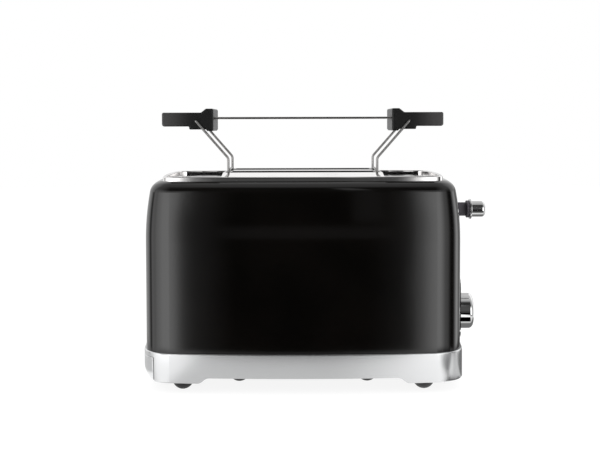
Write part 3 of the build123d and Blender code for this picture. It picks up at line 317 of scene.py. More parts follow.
@dataclass(frozen=True)
class Finish:
    """A surface finish: what it is made of, how it shines and how it varies."""

    name: str
    colour: Colour
    roughness: float
    grain: Grain
    metallic: float = 0.0
    second: Colour | None = None
    coat: float = 0.0
    specular: float = 0.5
    relief: float = 1.0
    coat_roughness: float = 0.04
    bump: float = 0.35

    def make(self) -> bpy.types.Material:
        """Builds the material.

        Returns:
            The finished material.
        """
        material = bpy.data.materials.new(self.name)
        material.use_nodes = True
        graph = Graph(material.node_tree)
        colour, roughness, height, depth = self._surface(graph)
        bump = {"Height": height, "Strength": self.bump * self.relief, "Distance": depth}
        inputs = {"Base Color": colour, "Roughness": roughness, "Metallic": self.metallic,
                  "Coat Weight": self.coat, "Coat Roughness": self.coat_roughness,
                  "Specular IOR Level": self.specular, "Normal": graph.node("ShaderNodeBump", inputs=bump)}
        shader = graph.node("ShaderNodeBsdfPrincipled", {"distribution": "MULTI_GGX"}, inputs)
        graph.node("ShaderNodeOutputMaterial", inputs={"Surface": shader})
        return material

    def _surface(self, graph: Graph) -> Surface:
        """Chooses the pattern for the grain.

        Args:
            graph: Graph of the material.

        Returns:
            Colour, roughness, height of the relief and the relief's depth in metres.
        """
        patterns: dict[Grain, Callable[[Graph], Surface]] = {
            Grain.ENAMEL: self._enamel,
            Grain.POLISHED: self._polished,
            Grain.BRUSHED_LEVEL: self._brushed_level,
            Grain.DRAWN_WIRE: self._drawn_wire,
            Grain.SPANGLE: self._spangle,
            Grain.MOULDED: self._moulded,
            Grain.GRIP_SHEEN: self._grip_sheen,
            Grain.RUBBER: self._rubber,
            Grain.MICA: self._mica,
            Grain.SCALE: self._scale,
            Grain.WOUND: self._wound,
            Grain.SLEEVE: self._sleeve,
            Grain.LAMINATE: self._laminate,
            Grain.CAST: self._cast,
        }
        return patterns[self.grain](graph)

    def _other(self, share: float = 1.3) -> Colour:
        """The second colour, or a lighter or darker shade of the first.

        Args:
            share: Factor on each part of the first colour.

        Returns:
            The colour.
        """
        if self.second is not None:
            return self.second
        red, green, blue = (min(1.0, part * share) for part in self.colour)
        return red, green, blue

    def _enamel(self, graph: Graph) -> Surface:
        """Stoved enamel: cloudy pigment, orange peel and a few wiped streaks.

        Args:
            graph: Graph of the material.

        Returns:
            Colour, roughness, height of the relief and the relief's depth in metres.
        """
        where = graph.place()
        cloud = graph.noise(where, scale=14.0, detail=2.0)
        peel = graph.noise(where, scale=420.0, detail=2.0, rough=0.4)
        wiped = graph.noise(graph.place((1.0, 1.0, 0.25)), scale=60.0, detail=4.0)
        colour = graph.blend(cloud.ramp(0.35, 0.7), self.colour, self._other())
        roughness = self.roughness + wiped.ramp(0.5, 0.85) * 0.03 + cloud * 0.015
        return colour, roughness, peel, 20 * MICRON

    def _polished(self, graph: Graph) -> Surface:
        """Mirror polish: hair scratches across it and soft thumb marks.

        Args:
            graph: Graph of the material.

        Returns:
            Colour, roughness, height of the relief and the relief's depth in metres.
        """
        where = graph.place()
        marks = graph.noise(where, scale=34.0, detail=3.0).ramp(0.52, 0.78)
        hairs = graph.noise(graph.place((1.0, 14.0, 14.0)), scale=90.0, detail=4.0, rough=0.7)
        colour = graph.blend(marks, self.colour, self._other(0.93))
        roughness = self.roughness + marks * 0.05 + hairs.ramp(0.6, 0.75) * 0.03
        return colour, roughness, hairs, 6 * MICRON

    def _brushed_level(self, graph: Graph) -> Surface:
        """Satin steel: lines that run level round the piece, with broad cloudy patches.

        Args:
            graph: Graph of the material.

        Returns:
            Colour, roughness, height of the relief and the relief's depth in metres.
        """
        lines = graph.noise(graph.place((1.0, 1.0, 90.0)), scale=26.0, detail=5.0, rough=0.75)
        cloud = graph.noise(graph.place(), scale=11.0, detail=2.0)
        colour = graph.blend(lines, self.colour, self._other(1.08))
        roughness = self.roughness + (lines - 0.5) * 0.1 + (cloud - 0.5) * 0.05
        return colour, roughness, lines, 10 * MICRON

    def _drawn_wire(self, graph: Graph) -> Surface:
        """Drawn wire: small pits, and darker stretches where heat or handling has dulled it.

        Args:
            graph: Graph of the material.

        Returns:
            Colour, roughness, height of the relief and the relief's depth in metres.
        """
        where = graph.place()
        pits = graph.noise(where, scale=1400.0, detail=3.0, rough=0.6)
        dull = graph.noise(where, scale=55.0, detail=3.0)
        colour = graph.blend(dull.ramp(0.4, 0.75), self.colour, self._other(0.72))
        roughness = self.roughness + dull * 0.12 + (pits - 0.5) * 0.08
        return colour, roughness, pits, 20 * MICRON

    def _spangle(self, graph: Graph) -> Surface:
        """Galvanised sheet: zinc crystals of different brightness.

        Args:
            graph: Graph of the material.

        Returns:
            Colour, roughness, height of the relief and the relief's depth in metres.
        """
        settings = {"feature": "F1"}
        inputs = {"Vector": graph.place(), "Scale": 210.0, "Randomness": 1.0}
        crystal = graph.node("ShaderNodeTexVoronoi", settings, inputs, output="Color")
        shade = graph.axis(crystal, "X")
        fine = graph.noise(graph.place(), scale=900.0)
        colour = graph.blend(shade * 0.6 + fine * 0.3, self.colour, self._other(1.35))
        roughness = self.roughness + shade * 0.16
        return colour, roughness, shade * 0.5 + fine * 0.5, 10 * MICRON

    def _moulded(self, graph: Graph) -> Surface:
        """Moulded plastic: spark-eroded grain, and flow clouds that vary its tone and shine.

        Args:
            graph: Graph of the material.

        Returns:
            Colour, roughness, height of the relief and the relief's depth in metres.
        """
        where = graph.place()
        grain = graph.noise(where, scale=1700.0, detail=2.0, rough=0.6)
        flow = graph.noise(graph.place((0.6, 1.0, 1.0)), scale=26.0, detail=3.0)
        colour = graph.blend(flow.ramp(0.35, 0.75), self.colour, self._other())
        roughness = self.roughness + (grain - 0.5) * 0.1 + (flow - 0.5) * 0.12
        return colour, roughness, grain, 30 * MICRON

    def _grip_sheen(self, graph: Graph) -> Surface:
        """Moulded grip: mould grain, with a painted highlight that makes it paler, in patches, towards its
        outer end.

        Args:
            graph: Graph of the material.

        Returns:
            Colour, roughness, height of the relief and the relief's depth in metres.
        """
        where = graph.place()
        grain = graph.noise(where, scale=1700.0, detail=2.0, rough=0.6)
        outward = abs(graph.axis(where, "X") - case_middle_x())
        # Painted highlight: paler colour towards each grip's outer end, where the side light falls
        sheen_start, sheen_full = 104 * MM, 137 * MM
        patchy = graph.noise(where, scale=75.0, detail=3.0) * 0.4
        painted_sheen = outward.ramp(sheen_start, sheen_full) * (0.8 + patchy)
        colour = graph.blend(painted_sheen, self.colour, self._other())
        return colour, self.roughness + (grain - 0.5) * 0.1 - painted_sheen * 0.03, grain, 30 * MICRON

    def _rubber(self, graph: Graph) -> Surface:
        """Rubber: dust that clings in patches and a fine soft relief.

        Args:
            graph: Graph of the material.

        Returns:
            Colour, roughness, height of the relief and the relief's depth in metres.
        """
        where = graph.place()
        dust = graph.noise(where, scale=320.0, detail=4.0, rough=0.65)
        soft = graph.noise(where, scale=1100.0, detail=2.0)
        colour = graph.blend(dust.ramp(0.5, 0.85), self.colour, self._other(2.4))
        return colour, self.roughness + (dust - 0.5) * 0.12, soft, 50 * MICRON

    def _mica(self, graph: Graph) -> Surface:
        """Mica board: pressed flakes that differ in tone and gloss.

        Args:
            graph: Graph of the material.

        Returns:
            Colour, roughness, height of the relief and the relief's depth in metres.
        """
        settings = {"feature": "F1"}
        inputs = {"Vector": graph.place((1.0, 0.3, 1.6)), "Scale": 260.0, "Randomness": 1.0}
        flake = graph.axis(graph.node("ShaderNodeTexVoronoi", settings, inputs, output="Color"), "X")
        stain = graph.noise(graph.place(), scale=30.0, detail=4.0)
        colour = graph.blend(flake * 0.7 + stain.ramp(0.4, 0.8) * 0.5, self.colour, self._other())
        return colour, self.roughness + flake * 0.2, flake, 40 * MICRON

    def _scale(self, graph: Graph) -> Surface:
        """Heated ribbon: dark oxide with paler brown patches.

        Args:
            graph: Graph of the material.

        Returns:
            Colour, roughness, height of the relief and the relief's depth in metres.
        """
        where = graph.place()
        patch = graph.noise(where, scale=85.0, detail=4.0)
        fine = graph.noise(where, scale=1500.0, detail=2.0)
        colour = graph.blend(patch.ramp(0.42, 0.62), self.colour, self._other())
        return colour, self.roughness + (fine - 0.5) * 0.25, fine, 20 * MICRON

    def _wound(self, graph: Graph) -> Surface:
        """Coil: fine turns one above the other, darker in the grooves between them.

        Args:
            graph: Graph of the material.

        Returns:
            Colour, roughness, height of the relief and the relief's depth in metres.
        """
        wire_pitch = 0.35 * MM
        turn = (graph.axis(graph.place(), "Z") * (2 * math.pi / wire_pitch)).sine() * 0.5 + 0.5
        cloud = graph.noise(graph.place(), scale=160.0)
        colour = graph.blend(turn * 0.7 + cloud * 0.3, self.colour, self._other())
        return colour, self.roughness + cloud * 0.15, turn, 120 * MICRON

    def _sleeve(self, graph: Graph) -> Surface:
        """Woven sleeve: two sets of threads crossing at a slant.

        Args:
            graph: Graph of the material.

        Returns:
            Colour, roughness, height of the relief and the relief's depth in metres.
        """
        where = graph.place()
        along = graph.axis(where, "X") + graph.axis(where, "Y")
        up = graph.axis(where, "Z")
        thread_pitch = 1.2 * MM
        wave = 2 * math.pi / thread_pitch
        weave = ((along + up) * wave).sine() * ((along - up) * wave).sine() * 0.5 + 0.5
        colour = graph.blend(weave, self.colour, self._other(1.6))
        return colour, self.roughness + weave * 0.1, weave, 100 * MICRON

    def _laminate(self, graph: Graph) -> Surface:
        """Circuit board: copper tracks under green lacquer, and a grid of solder pads.

        Args:
            graph: Graph of the material.

        Returns:
            Colour, roughness, height of the relief and the relief's depth in metres.
        """
        where = graph.place()
        across, up = graph.axis(where, "Y"), graph.axis(where, "Z")
        pad_pitch = 5.1 * MM
        wave = 2 * math.pi / pad_pitch
        wander = graph.noise(where, scale=55.0, detail=1.0) * 9.0
        track = (up * wave + wander).sine().ramp(0.35, 0.55)
        pads = ((across * wave).sine() * (up * wave).sine()).ramp(0.8, 0.9)
        green = graph.blend(track, self.colour, self._other())
        solder = (0.55, 0.55, 0.53)
        colour = graph.blend(pads, green, solder)
        return colour, self.roughness + pads * 0.1, track + pads, 60 * MICRON

    def _cast(self, graph: Graph) -> Surface:
        """Cast, pressed or ground part: even fine texture and cloudy tone.

        Args:
            graph: Graph of the material.

        Returns:
            Colour, roughness, height of the relief and the relief's depth in metres.
        """
        where = graph.place()
        fine = graph.noise(where, scale=1300.0, detail=3.0)
        cloud = graph.noise(where, scale=70.0, detail=3.0)
        colour = graph.blend(cloud.ramp(0.35, 0.7), self.colour, self._other())
        return colour, self.roughness + (fine - 0.5) * 0.12, fine, 30 * MICRON


class Finishes:
    """Every finish of the toaster, each made into a material once."""

    enamel = Finish("black_enamel", (0.0016, 0.0014, 0.0012), 0.055, Grain.ENAMEL, specular=0.6,
                    second=(0.0026, 0.0022, 0.0019), relief=0.3)
    satin_steel = Finish("satin_steel", (0.66, 0.665, 0.67), 0.2, Grain.BRUSHED_LEVEL, metallic=1.0,
                         relief=0.5)
    mirror_steel = Finish("mirror_steel", (0.8, 0.79, 0.785), 0.06, Grain.POLISHED, metallic=1.0,
                          relief=0.4)
    chrome = Finish("chrome", (0.82, 0.82, 0.82), 0.05, Grain.POLISHED, metallic=1.0, relief=0.3)
    inlay = Finish("black_inlay", (0.01, 0.01, 0.01), 0.45, Grain.CAST)
    lever_grey = Finish("lever_plastic", (0.055, 0.05, 0.06), 0.38, Grain.MOULDED)
    bright_wire = Finish("bright_wire", (0.5, 0.49, 0.48), 0.15, Grain.DRAWN_WIRE, metallic=1.0, relief=0.3)
    leg_wire = Finish("leg_wire", (0.3, 0.295, 0.29), 0.14, Grain.DRAWN_WIRE, metallic=1.0, relief=0.3)
    # The second colour is the paler tone of the painted highlight at the grips' outer ends
    grip = Finish("grip_plastic", (0.0045, 0.0045, 0.0045), 0.34, Grain.GRIP_SHEEN, relief=0.8, specular=0.3,
                  second=(0.045, 0.044, 0.044))
    pan_plastic = Finish("pan_plastic", (0.016, 0.016, 0.016), 0.55, Grain.MOULDED, relief=1.6)
    foot_rubber = Finish("foot_rubber", (0.012, 0.012, 0.012), 0.5, Grain.RUBBER)
    zinc = Finish("zinc_plate", (0.52, 0.52, 0.5), 0.3, Grain.CAST, metallic=1.0,
                  second=(0.62, 0.6, 0.52))
    tray_sheet = Finish("tray_sheet", (0.62, 0.62, 0.63), 0.3, Grain.BRUSHED_LEVEL, metallic=1.0)
    galvanised = Finish("galvanised_sheet", (0.42, 0.43, 0.44), 0.34, Grain.SPANGLE, metallic=1.0)
    mica = Finish("mica_board", (0.36, 0.29, 0.2), 0.4, Grain.MICA, second=(0.56, 0.48, 0.36))
    ribbon = Finish("heater_ribbon", (0.12, 0.11, 0.1), 0.5, Grain.SCALE, metallic=0.7,
                    second=(0.3, 0.2, 0.13))
    guard_wire = Finish("guard_wire", (0.58, 0.56, 0.53), 0.28, Grain.DRAWN_WIRE, metallic=1.0,
                        second=(0.42, 0.33, 0.22))
    spring_wire = Finish("spring_wire", (0.4, 0.4, 0.4), 0.3, Grain.DRAWN_WIRE, metallic=1.0)
    iron = Finish("soft_iron", (0.33, 0.32, 0.31), 0.45, Grain.CAST, metallic=1.0)
    copper = Finish("coil_copper", (0.45, 0.16, 0.06), 0.3, Grain.WOUND, metallic=1.0,
                    second=(0.7, 0.3, 0.13))
    ceramic = Finish("terminal_moulding", (0.62, 0.6, 0.54), 0.5, Grain.CAST)
    brass = Finish("contact_brass", (0.72, 0.54, 0.24), 0.3, Grain.DRAWN_WIRE, metallic=1.0)
    board = Finish("board_laminate", (0.015, 0.09, 0.03), 0.35, Grain.LAMINATE,
                   second=(0.03, 0.16, 0.055), coat=0.3)
    component = Finish("component_black", (0.025, 0.025, 0.027), 0.45, Grain.MOULDED)
    sleeve = Finish("lead_sleeve", (0.5, 0.47, 0.4), 0.8, Grain.SLEEVE)

    def __init__(self) -> None:
        """Starts with nothing made."""
        self._made: dict[str, bpy.types.Material] = {}

    def of(self, finish: Finish) -> bpy.types.Material:
        """The material of a finish, made on first use.

        Args:
            finish: One of this class's finishes.

        Returns:
            Its material.
        """
        if finish.name not in self._made:
            self._made[finish.name] = finish.make()
        return self._made[finish.name]

    def dress(self, piece: bpy.types.Object, finish: Finish) -> None:
        """Gives a piece one finish all over.

        Args:
            piece: Object that is dressed.
            finish: Its finish.
        """
        piece.data.materials.clear()
        piece.data.materials.append(self.of(finish))


@dataclass
class Assembly:
    """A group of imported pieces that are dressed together, with the trim that belongs to them."""

    finishes: Finishes
    frame: dict
    dressed: dict[str, Finish] = field(default_factory=dict)

    def dress_nodes(self) -> None:
        """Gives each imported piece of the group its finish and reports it."""
        for node, finish in self.dressed.items():
            self.finishes.dress(self.frame["nodes"][node], finish)
            log.info("%s dressed in %s", node, finish.name)

    def add(self, name: str, mesh: bmesh.types.BMesh, finish: Finish, body: str, slot: str,
            smooth: bool = True) -> bpy.types.Object:
        """Makes an object of a finished bmesh and lets it ride on a body.

        Args:
            name: Name of the new piece.
            mesh: Its geometry, in place.
            finish: Its finish.
            body: Body that it moves with.
            slot: Material slot of the record that it belongs to; not used.
            smooth: Whether its faces are shaded smooth between sharp edges.

        Returns:
            The new object.
        """
        bmesh.ops.recalc_face_normals(mesh, faces=mesh.faces[:])
        data = bpy.data.meshes.new(name)
        mesh.to_mesh(data)
        mesh.free()
        if smooth:
            data.shade_smooth()
            data.set_sharp_from_angle(angle=SHARP_ANGLE)
        piece = bpy.data.objects.new(name, data)
        bpy.context.scene.collection.objects.link(piece)
        self.finishes.dress(piece, finish)
        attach(piece, body)
        log.info("%s made with %d faces, riding on %s", name, len(data.polygons), body)
        return piece


@dataclass
class Case(Assembly):
    """The enamelled shell, its skirt, the top plate and the base."""

    front_bow_radius: float = 1200 * MM
    end_bow_radius: float = END_BOW_RADIUS
    corner_radius: float = 28 * MM
    # Strips of painted shade: black pieces set in the gaps beside the crumb tray's front, where there is
    # only shadow
    gap_shade_start_y: float = 71.0 * MM
    gap_shade_width: float = 1.2 * MM
    gap_shade_past_case: float = 1.5 * MM
    gap_shade_thickness: float = 2.6 * MM
    gap_shade_below_top: float = 0.5 * MM

    def __post_init__(self) -> None:
        """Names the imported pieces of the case."""
        kit = self.finishes
        self.dressed = {
            "body_shell": kit.enamel,
            "skirt": kit.satin_steel,
            "crumb_tray_front": kit.satin_steel,
            "top_plate": kit.mirror_steel,
            "base_pan": kit.pan_plastic,
            "outer_feet": kit.foot_rubber,
            "inner_feet": kit.foot_rubber,
            "base_screws": kit.zinc,
            "cord_gland": kit.pan_plastic,
            "crumb_tray": kit.tray_sheet,
        }

    def build(self) -> None:
        """Makes dark strips of painted shade in the joints between the skirt and the crumb tray's front,
        standing for the shadowed depth of the gaps.
        """
        low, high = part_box("crumb_tray_front")
        for name, side in (("front", -1), ("rear", 1)):
            mesh = bmesh.new()
            steps = [self.gap_shade_start_y + self.gap_shade_width * share for share in (0.0, 0.5, 1.0)]
            outer = [(-self.corner_x(y, self.gap_shade_past_case), side * y) for y in steps]
            inner = [(x + self.gap_shade_thickness, y) for x, y in reversed(outer)]
            start, stop = low.z + self.gap_shade_thickness / 2, high.z - self.gap_shade_below_top
            verts = [mesh.verts.new((case_middle_x() + x, y, start)) for x, y in outer + inner]
            made = bmesh.ops.extrude_face_region(mesh, geom=[mesh.faces.new(verts)])["geom"]
            raised = [part for part in made if isinstance(part, bmesh.types.BMVert)]
            bmesh.ops.translate(mesh, vec=(0.0, 0.0, stop - start), verts=raised)
            # Black plastic as painted shade for the inside of the gap
            self.add(f"tray_gap_shade_{name}", mesh, self.finishes.pan_plastic, "case", "pan_plastic",
                     smooth=False)

    def corner_x(self, y: float, past: float) -> float:
        """Distance of the case's round corner from its middle along X.

        Args:
            y: Distance from the middle along Y.
            past: How far outside the case's face the point lies.

        Returns:
            The distance.
        """
        low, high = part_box("body_shell")
        front = Vector((0.0, self.front_bow_radius - (high.y - low.y) / 2))
        end = Vector(((high.x - low.x) / 2 - self.end_bow_radius, 0.0))
        to_front = self.front_bow_radius - self.corner_radius
        to_end = self.end_bow_radius - self.corner_radius
        between = (end - front).length
        along = (between**2 + to_front**2 - to_end**2) / (2 * between)
        across = math.sqrt(to_front**2 - along**2)
        step = (end - front) / between
        centre = front + step * along + Vector((-step.y, step.x)) * across
        return centre.x + math.sqrt((self.corner_radius + past) ** 2 - (y + centre.y) ** 2)


@dataclass
class Works(Assembly):
    """The chassis, heaters, guards, carriage and electrics inside."""

    def __post_init__(self) -> None:
        """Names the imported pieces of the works."""
        kit = self.finishes
        self.dressed = {
            "top_bracket": kit.galvanised,
            "carriage_bracket": kit.galvanised,
            "magnet_bracket": kit.galvanised,
            "guide_rods": kit.zinc,
            "return_spring": kit.spring_wire,
            "armature": kit.iron,
            "magnet_core": kit.iron,
            "magnet_coil": kit.copper,
            "contact_block": kit.ceramic,
            "contact_leaves": kit.brass,
            "terminal_block": kit.ceramic,
            "mains_leads": kit.sleeve,
            "heater_leads": kit.sleeve,
            "control_board": kit.board,
            "board_components": kit.component,
            "push_switches": kit.component,
            "potentiometer": kit.component,
        }
        for end in ("left", "right"):
            self.dressed[f"chassis_plate_{end}"] = kit.galvanised
        for side in ("front", "rear"):
            self.dressed[f"heat_shield_{side}"] = kit.galvanised
            self.dressed[f"bread_lift_{side}"] = kit.guard_wire
            for wall in ("inner", "outer"):
                self.dressed[f"bread_guard_{side}_{wall}"] = kit.guard_wire
        for place in ("front", "centre", "rear"):
            self.dressed[f"heater_board_{place}"] = kit.mica
            self.dressed[f"heater_winding_{place}"] = kit.ribbon


@dataclass
class Controls(Assembly):
    """Lever, browning knob and buttons on the right end, and the trim round them."""

    tick_count: int = 11
    tick_sweep: float = math.radians(260)
    tick_start_radius: float = 18.6 * MM
    tick_short: float = 1.35 * MM
    tick_long: float = 3.0 * MM
    tick_narrow: float = 0.42 * MM
    tick_wide: float = 0.98 * MM
    tick_height: float = 0.12 * MM
    button_radius: float = 4.6 * MM
    bezel_gap: float = 0.45 * MM
    bezel_width: float = 1.0 * MM
    bezel_height: float = 0.7 * MM
    bezel_sunk: float = 0.3 * MM
    bezel_round: float = 0.25 * MM
    bezel_steps: int = 48
    bezel_rim_angle: float = math.radians(60)
    end_bow_radius: float = END_BOW_RADIUS

    def __post_init__(self) -> None:
        """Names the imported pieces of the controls."""
        kit = self.finishes
        self.dressed = {
            "control_panel": kit.mirror_steel,
            "browning_knob": kit.chrome,
            "knob_marker": kit.inlay,
            "knob_shaft": kit.zinc,
            "lever_arm": kit.lever_grey,
            "lever_collar": kit.chrome,
            "lever_knob": kit.chrome,
            "button_cancel": kit.chrome,
            "button_reheat": kit.chrome,
            "button_defrost": kit.chrome,
        }

    def panel_x(self, y: float) -> float:
        """Place of the bowed panel's face at a distance from the middle.

        Args:
            y: Distance along Y from the middle of the case.

        Returns:
            X of the panel's outer face there.
        """
        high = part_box("control_panel")[1].x
        return high - (self.end_bow_radius - math.sqrt(self.end_bow_radius**2 - y * y))

    def build(self) -> None:
        """Makes the scale round the knob and the bezels round the buttons."""
        self._scale()
        for name in ("button_cancel", "button_reheat", "button_defrost"):
            self._bezel(name)

    def _scale(self) -> None:
        """Ticks round the knob that grow from light to dark browning."""
        low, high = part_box("browning_knob")
        centre = (low + high) / 2
        mesh = bmesh.new()
        for index in range(self.tick_count):
            share = index / (self.tick_count - 1)
            angle = self.tick_sweep * (share - 0.5)
            length = self.tick_short + (self.tick_long - self.tick_short) * share
            width = self.tick_narrow + (self.tick_wide - self.tick_narrow) * share
            middle = self.tick_start_radius + length / 2
            made = bmesh.ops.create_cube(mesh, size=1.0)["verts"]
            bmesh.ops.scale(mesh, vec=(self.tick_height * 2, width, length), verts=made)
            bmesh.ops.translate(mesh, vec=(0.0, 0.0, middle), verts=made)
            bmesh.ops.rotate(mesh, cent=(0, 0, 0), matrix=Matrix.Rotation(-angle, 3, "X"), verts=made)
            bmesh.ops.translate(mesh, vec=(0.0, centre.y, centre.z), verts=made)
            for vert in made:
                vert.co.x += self.panel_x(vert.co.y)
        self.add("browning_scale", mesh, self.finishes.inlay, "case", "marker_black", smooth=False)

    def _bezel(self, button: str) -> None:
        """A rounded ring set on the panel round a button.

        Args:
            button: Node of the button.
        """
        low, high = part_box(button)
        centre = (low + high) / 2
        inner = self.button_radius + self.bezel_gap
        outer = inner + self.bezel_width
        face = self.panel_x(abs(centre.y))
        mesh = bmesh.new()
        corners = [(0.0, inner), (self.bezel_height, inner), (self.bezel_height, outer),
                   (-self.bezel_sunk, outer)]
        verts = [mesh.verts.new((face + out, centre.y, centre.z + radius)) for out, radius in corners]
        edges = [mesh.edges.new(pair) for pair in zip(verts, verts[1:] + verts[:1])]
        bmesh.ops.spin(mesh, geom=verts + edges, cent=(face, centre.y, centre.z), axis=(1, 0, 0),
                       angle=2 * math.pi, steps=self.bezel_steps, use_merge=True)
        bmesh.ops.remove_doubles(mesh, verts=mesh.verts[:], dist=0.1 * MICRON)
        rims = [edge for edge in mesh.edges if edge.calc_face_angle(0) > self.bezel_rim_angle]
        bmesh.ops.bevel(mesh, geom=rims, offset=self.bezel_round, segments=3, affect="EDGES",
                        profile=0.5, material=-1)
        self.add(f"bezel_{button}", mesh, self.finishes.chrome, "case", "knob_chrome")


@dataclass
class BunRack(Assembly):
    """The lift-off rack: wires, bent legs and two grips."""

    def __post_init__(self) -> None:
        """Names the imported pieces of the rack."""
        kit = self.finishes
        self.dressed = {"rack_wires": kit.bright_wire}
        for end in ("left", "right"):
            self.dressed[f"rack_leg_{end}"] = kit.leg_wire
            self.dressed[f"rack_handle_{end}"] = kit.grip


@dataclass(frozen=True)
class Lamp:
    """A soft square lamp: where it hangs, the length of its side and its power in watts."""

    name: str
    place: tuple[float, float, float]
    size: float
    power: float


@dataclass(frozen=True)
class Room:
    """What gloss shows round the toaster, by degrees above the horizon and share of a half turn."""

    box_foot: Band = (-26.0, -17.0)
    box_head: Band = (38.0, 10.0)
    wall_side: Band = (0.53, 0.62)
    wall_foot: Band = (4.0, 13.0)
    wall_head: Band = (60.0, 40.0)
    wall_level: float = 1.1
    wall_shade: float = 0.5
    shade_side: Band = (0.9, 0.92)
    shade_middle: Band = (0.968, 0.955)
    ceiling_rise: Band = (58.0, 80.0)
    ceiling_level: float = 0.5
    card_foot: Band = (-4.5, -3.5)
    card_head: Band = (3.0, -1.0)
    card_level: float = 0.07
    streak_right: Band = (0.0, 0.05)
    streak_start: Band = (0.035, 0.05)
    streak_stop: Band = (0.076, 0.062)
    streak_foot: Band = (0.0, 6.0)
    streak_rise: Band = (34.0, 48.0)
    streak_low: float = 0.08
    streak_high: float = 0.5
    front_head: Band = (66.0, 55.0)
    front_side: Band = (0.3, 0.2)
    middle_seam: Band = (-0.001, 0.001)
    matt_level: float = 0.75

    def build(self) -> None:
        """White to the camera, even light for matt surfaces, boxes and dark cards for glossy ones."""
        world = bpy.data.worlds.new("studio")
        bpy.context.scene.world = world
        world.use_nodes = True
        graph = Graph(world.node_tree)
        rays = {name: graph.node("ShaderNodeLightPath", output=f"Is {name} Ray")
                for name in ("Camera", "Glossy", "Transmission")}
        seen = rays["Glossy"].at_least(rays["Transmission"])
        other = seen * self._gloss(graph) + (1.0 - seen) * self.matt_level
        strength = rays["Camera"] + (1.0 - rays["Camera"]) * other
        light = graph.node("ShaderNodeBackground", inputs={
            "Color": (1.0, 1.0, 1.0, 1.0), "Strength": strength})
        graph.node("ShaderNodeOutputWorld", inputs={"Surface": light})

    def _gloss(self, graph: Graph) -> Value:
        """Brightness that glossy surfaces show.

        Args:
            graph: Graph of the world.

        Returns:
            The brightness in each direction.
        """
        heading = graph.node("ShaderNodeTexCoord", output="Generated")
        x, y, z = (graph.axis(heading, name) for name in "XYZ")
        turn = graph.node("ShaderNodeMath", {"operation": "ARCTAN2"}, {0: abs(x), 1: y * -1.0}) / math.pi
        rise = graph.node("ShaderNodeMath", {"operation": "ARCSINE"}, {0: z}) * (180 / math.pi)
        left, right, room = (self._ring(graph, turn, levels)
                             for levels in (LEFT_LEVELS, RIGHT_LEVELS, ROOM_LEVELS))
        boxes = left + x.ramp(*self.middle_seam) * (right - left)
        level = room + rise.ramp(*self.box_foot) * rise.ramp(*self.box_head) * (boxes - room)
        backdrop = turn.ramp(*self.wall_side) * rise.ramp(*self.wall_foot) * rise.ramp(*self.wall_head)
        shade = turn.ramp(*self.shade_side) * turn.ramp(*self.shade_middle) * self.wall_shade
        level = level + backdrop * (self.wall_level - shade - level)
        level = level + rise.ramp(*self.ceiling_rise) * (self.ceiling_level - level)
        streak = x.ramp(*self.streak_right) * turn.ramp(*self.streak_start) * turn.ramp(*self.streak_stop)
        glow = self.streak_low + rise.ramp(*self.streak_rise) * self.streak_high
        card = rise.ramp(*self.card_foot) * rise.ramp(*self.card_head) * self.card_level
        card = card + streak * rise.ramp(*self.streak_foot) * glow
        return level.at_least(card * rise.ramp(*self.front_head) * turn.ramp(*self.front_side))

    @staticmethod
    def _ring(graph: Graph, turn: Value, levels: Levels) -> Value:
        """Brightness that changes round the horizon.

        Args:
            graph: Graph of the world.
            turn: Angle from the front, where 1 is straight behind.
            levels: Angles in degrees with their brightness, in order.

        Returns:
            The brightness.
        """
        top = max(level for _, level in levels)
        stops = [(angle / 180, (level / top,) * 3) for angle, level in levels]
        return graph.axis(graph.node("ShaderNodeValToRGB", {"stops": stops}, {"Fac": turn}), "X") * top


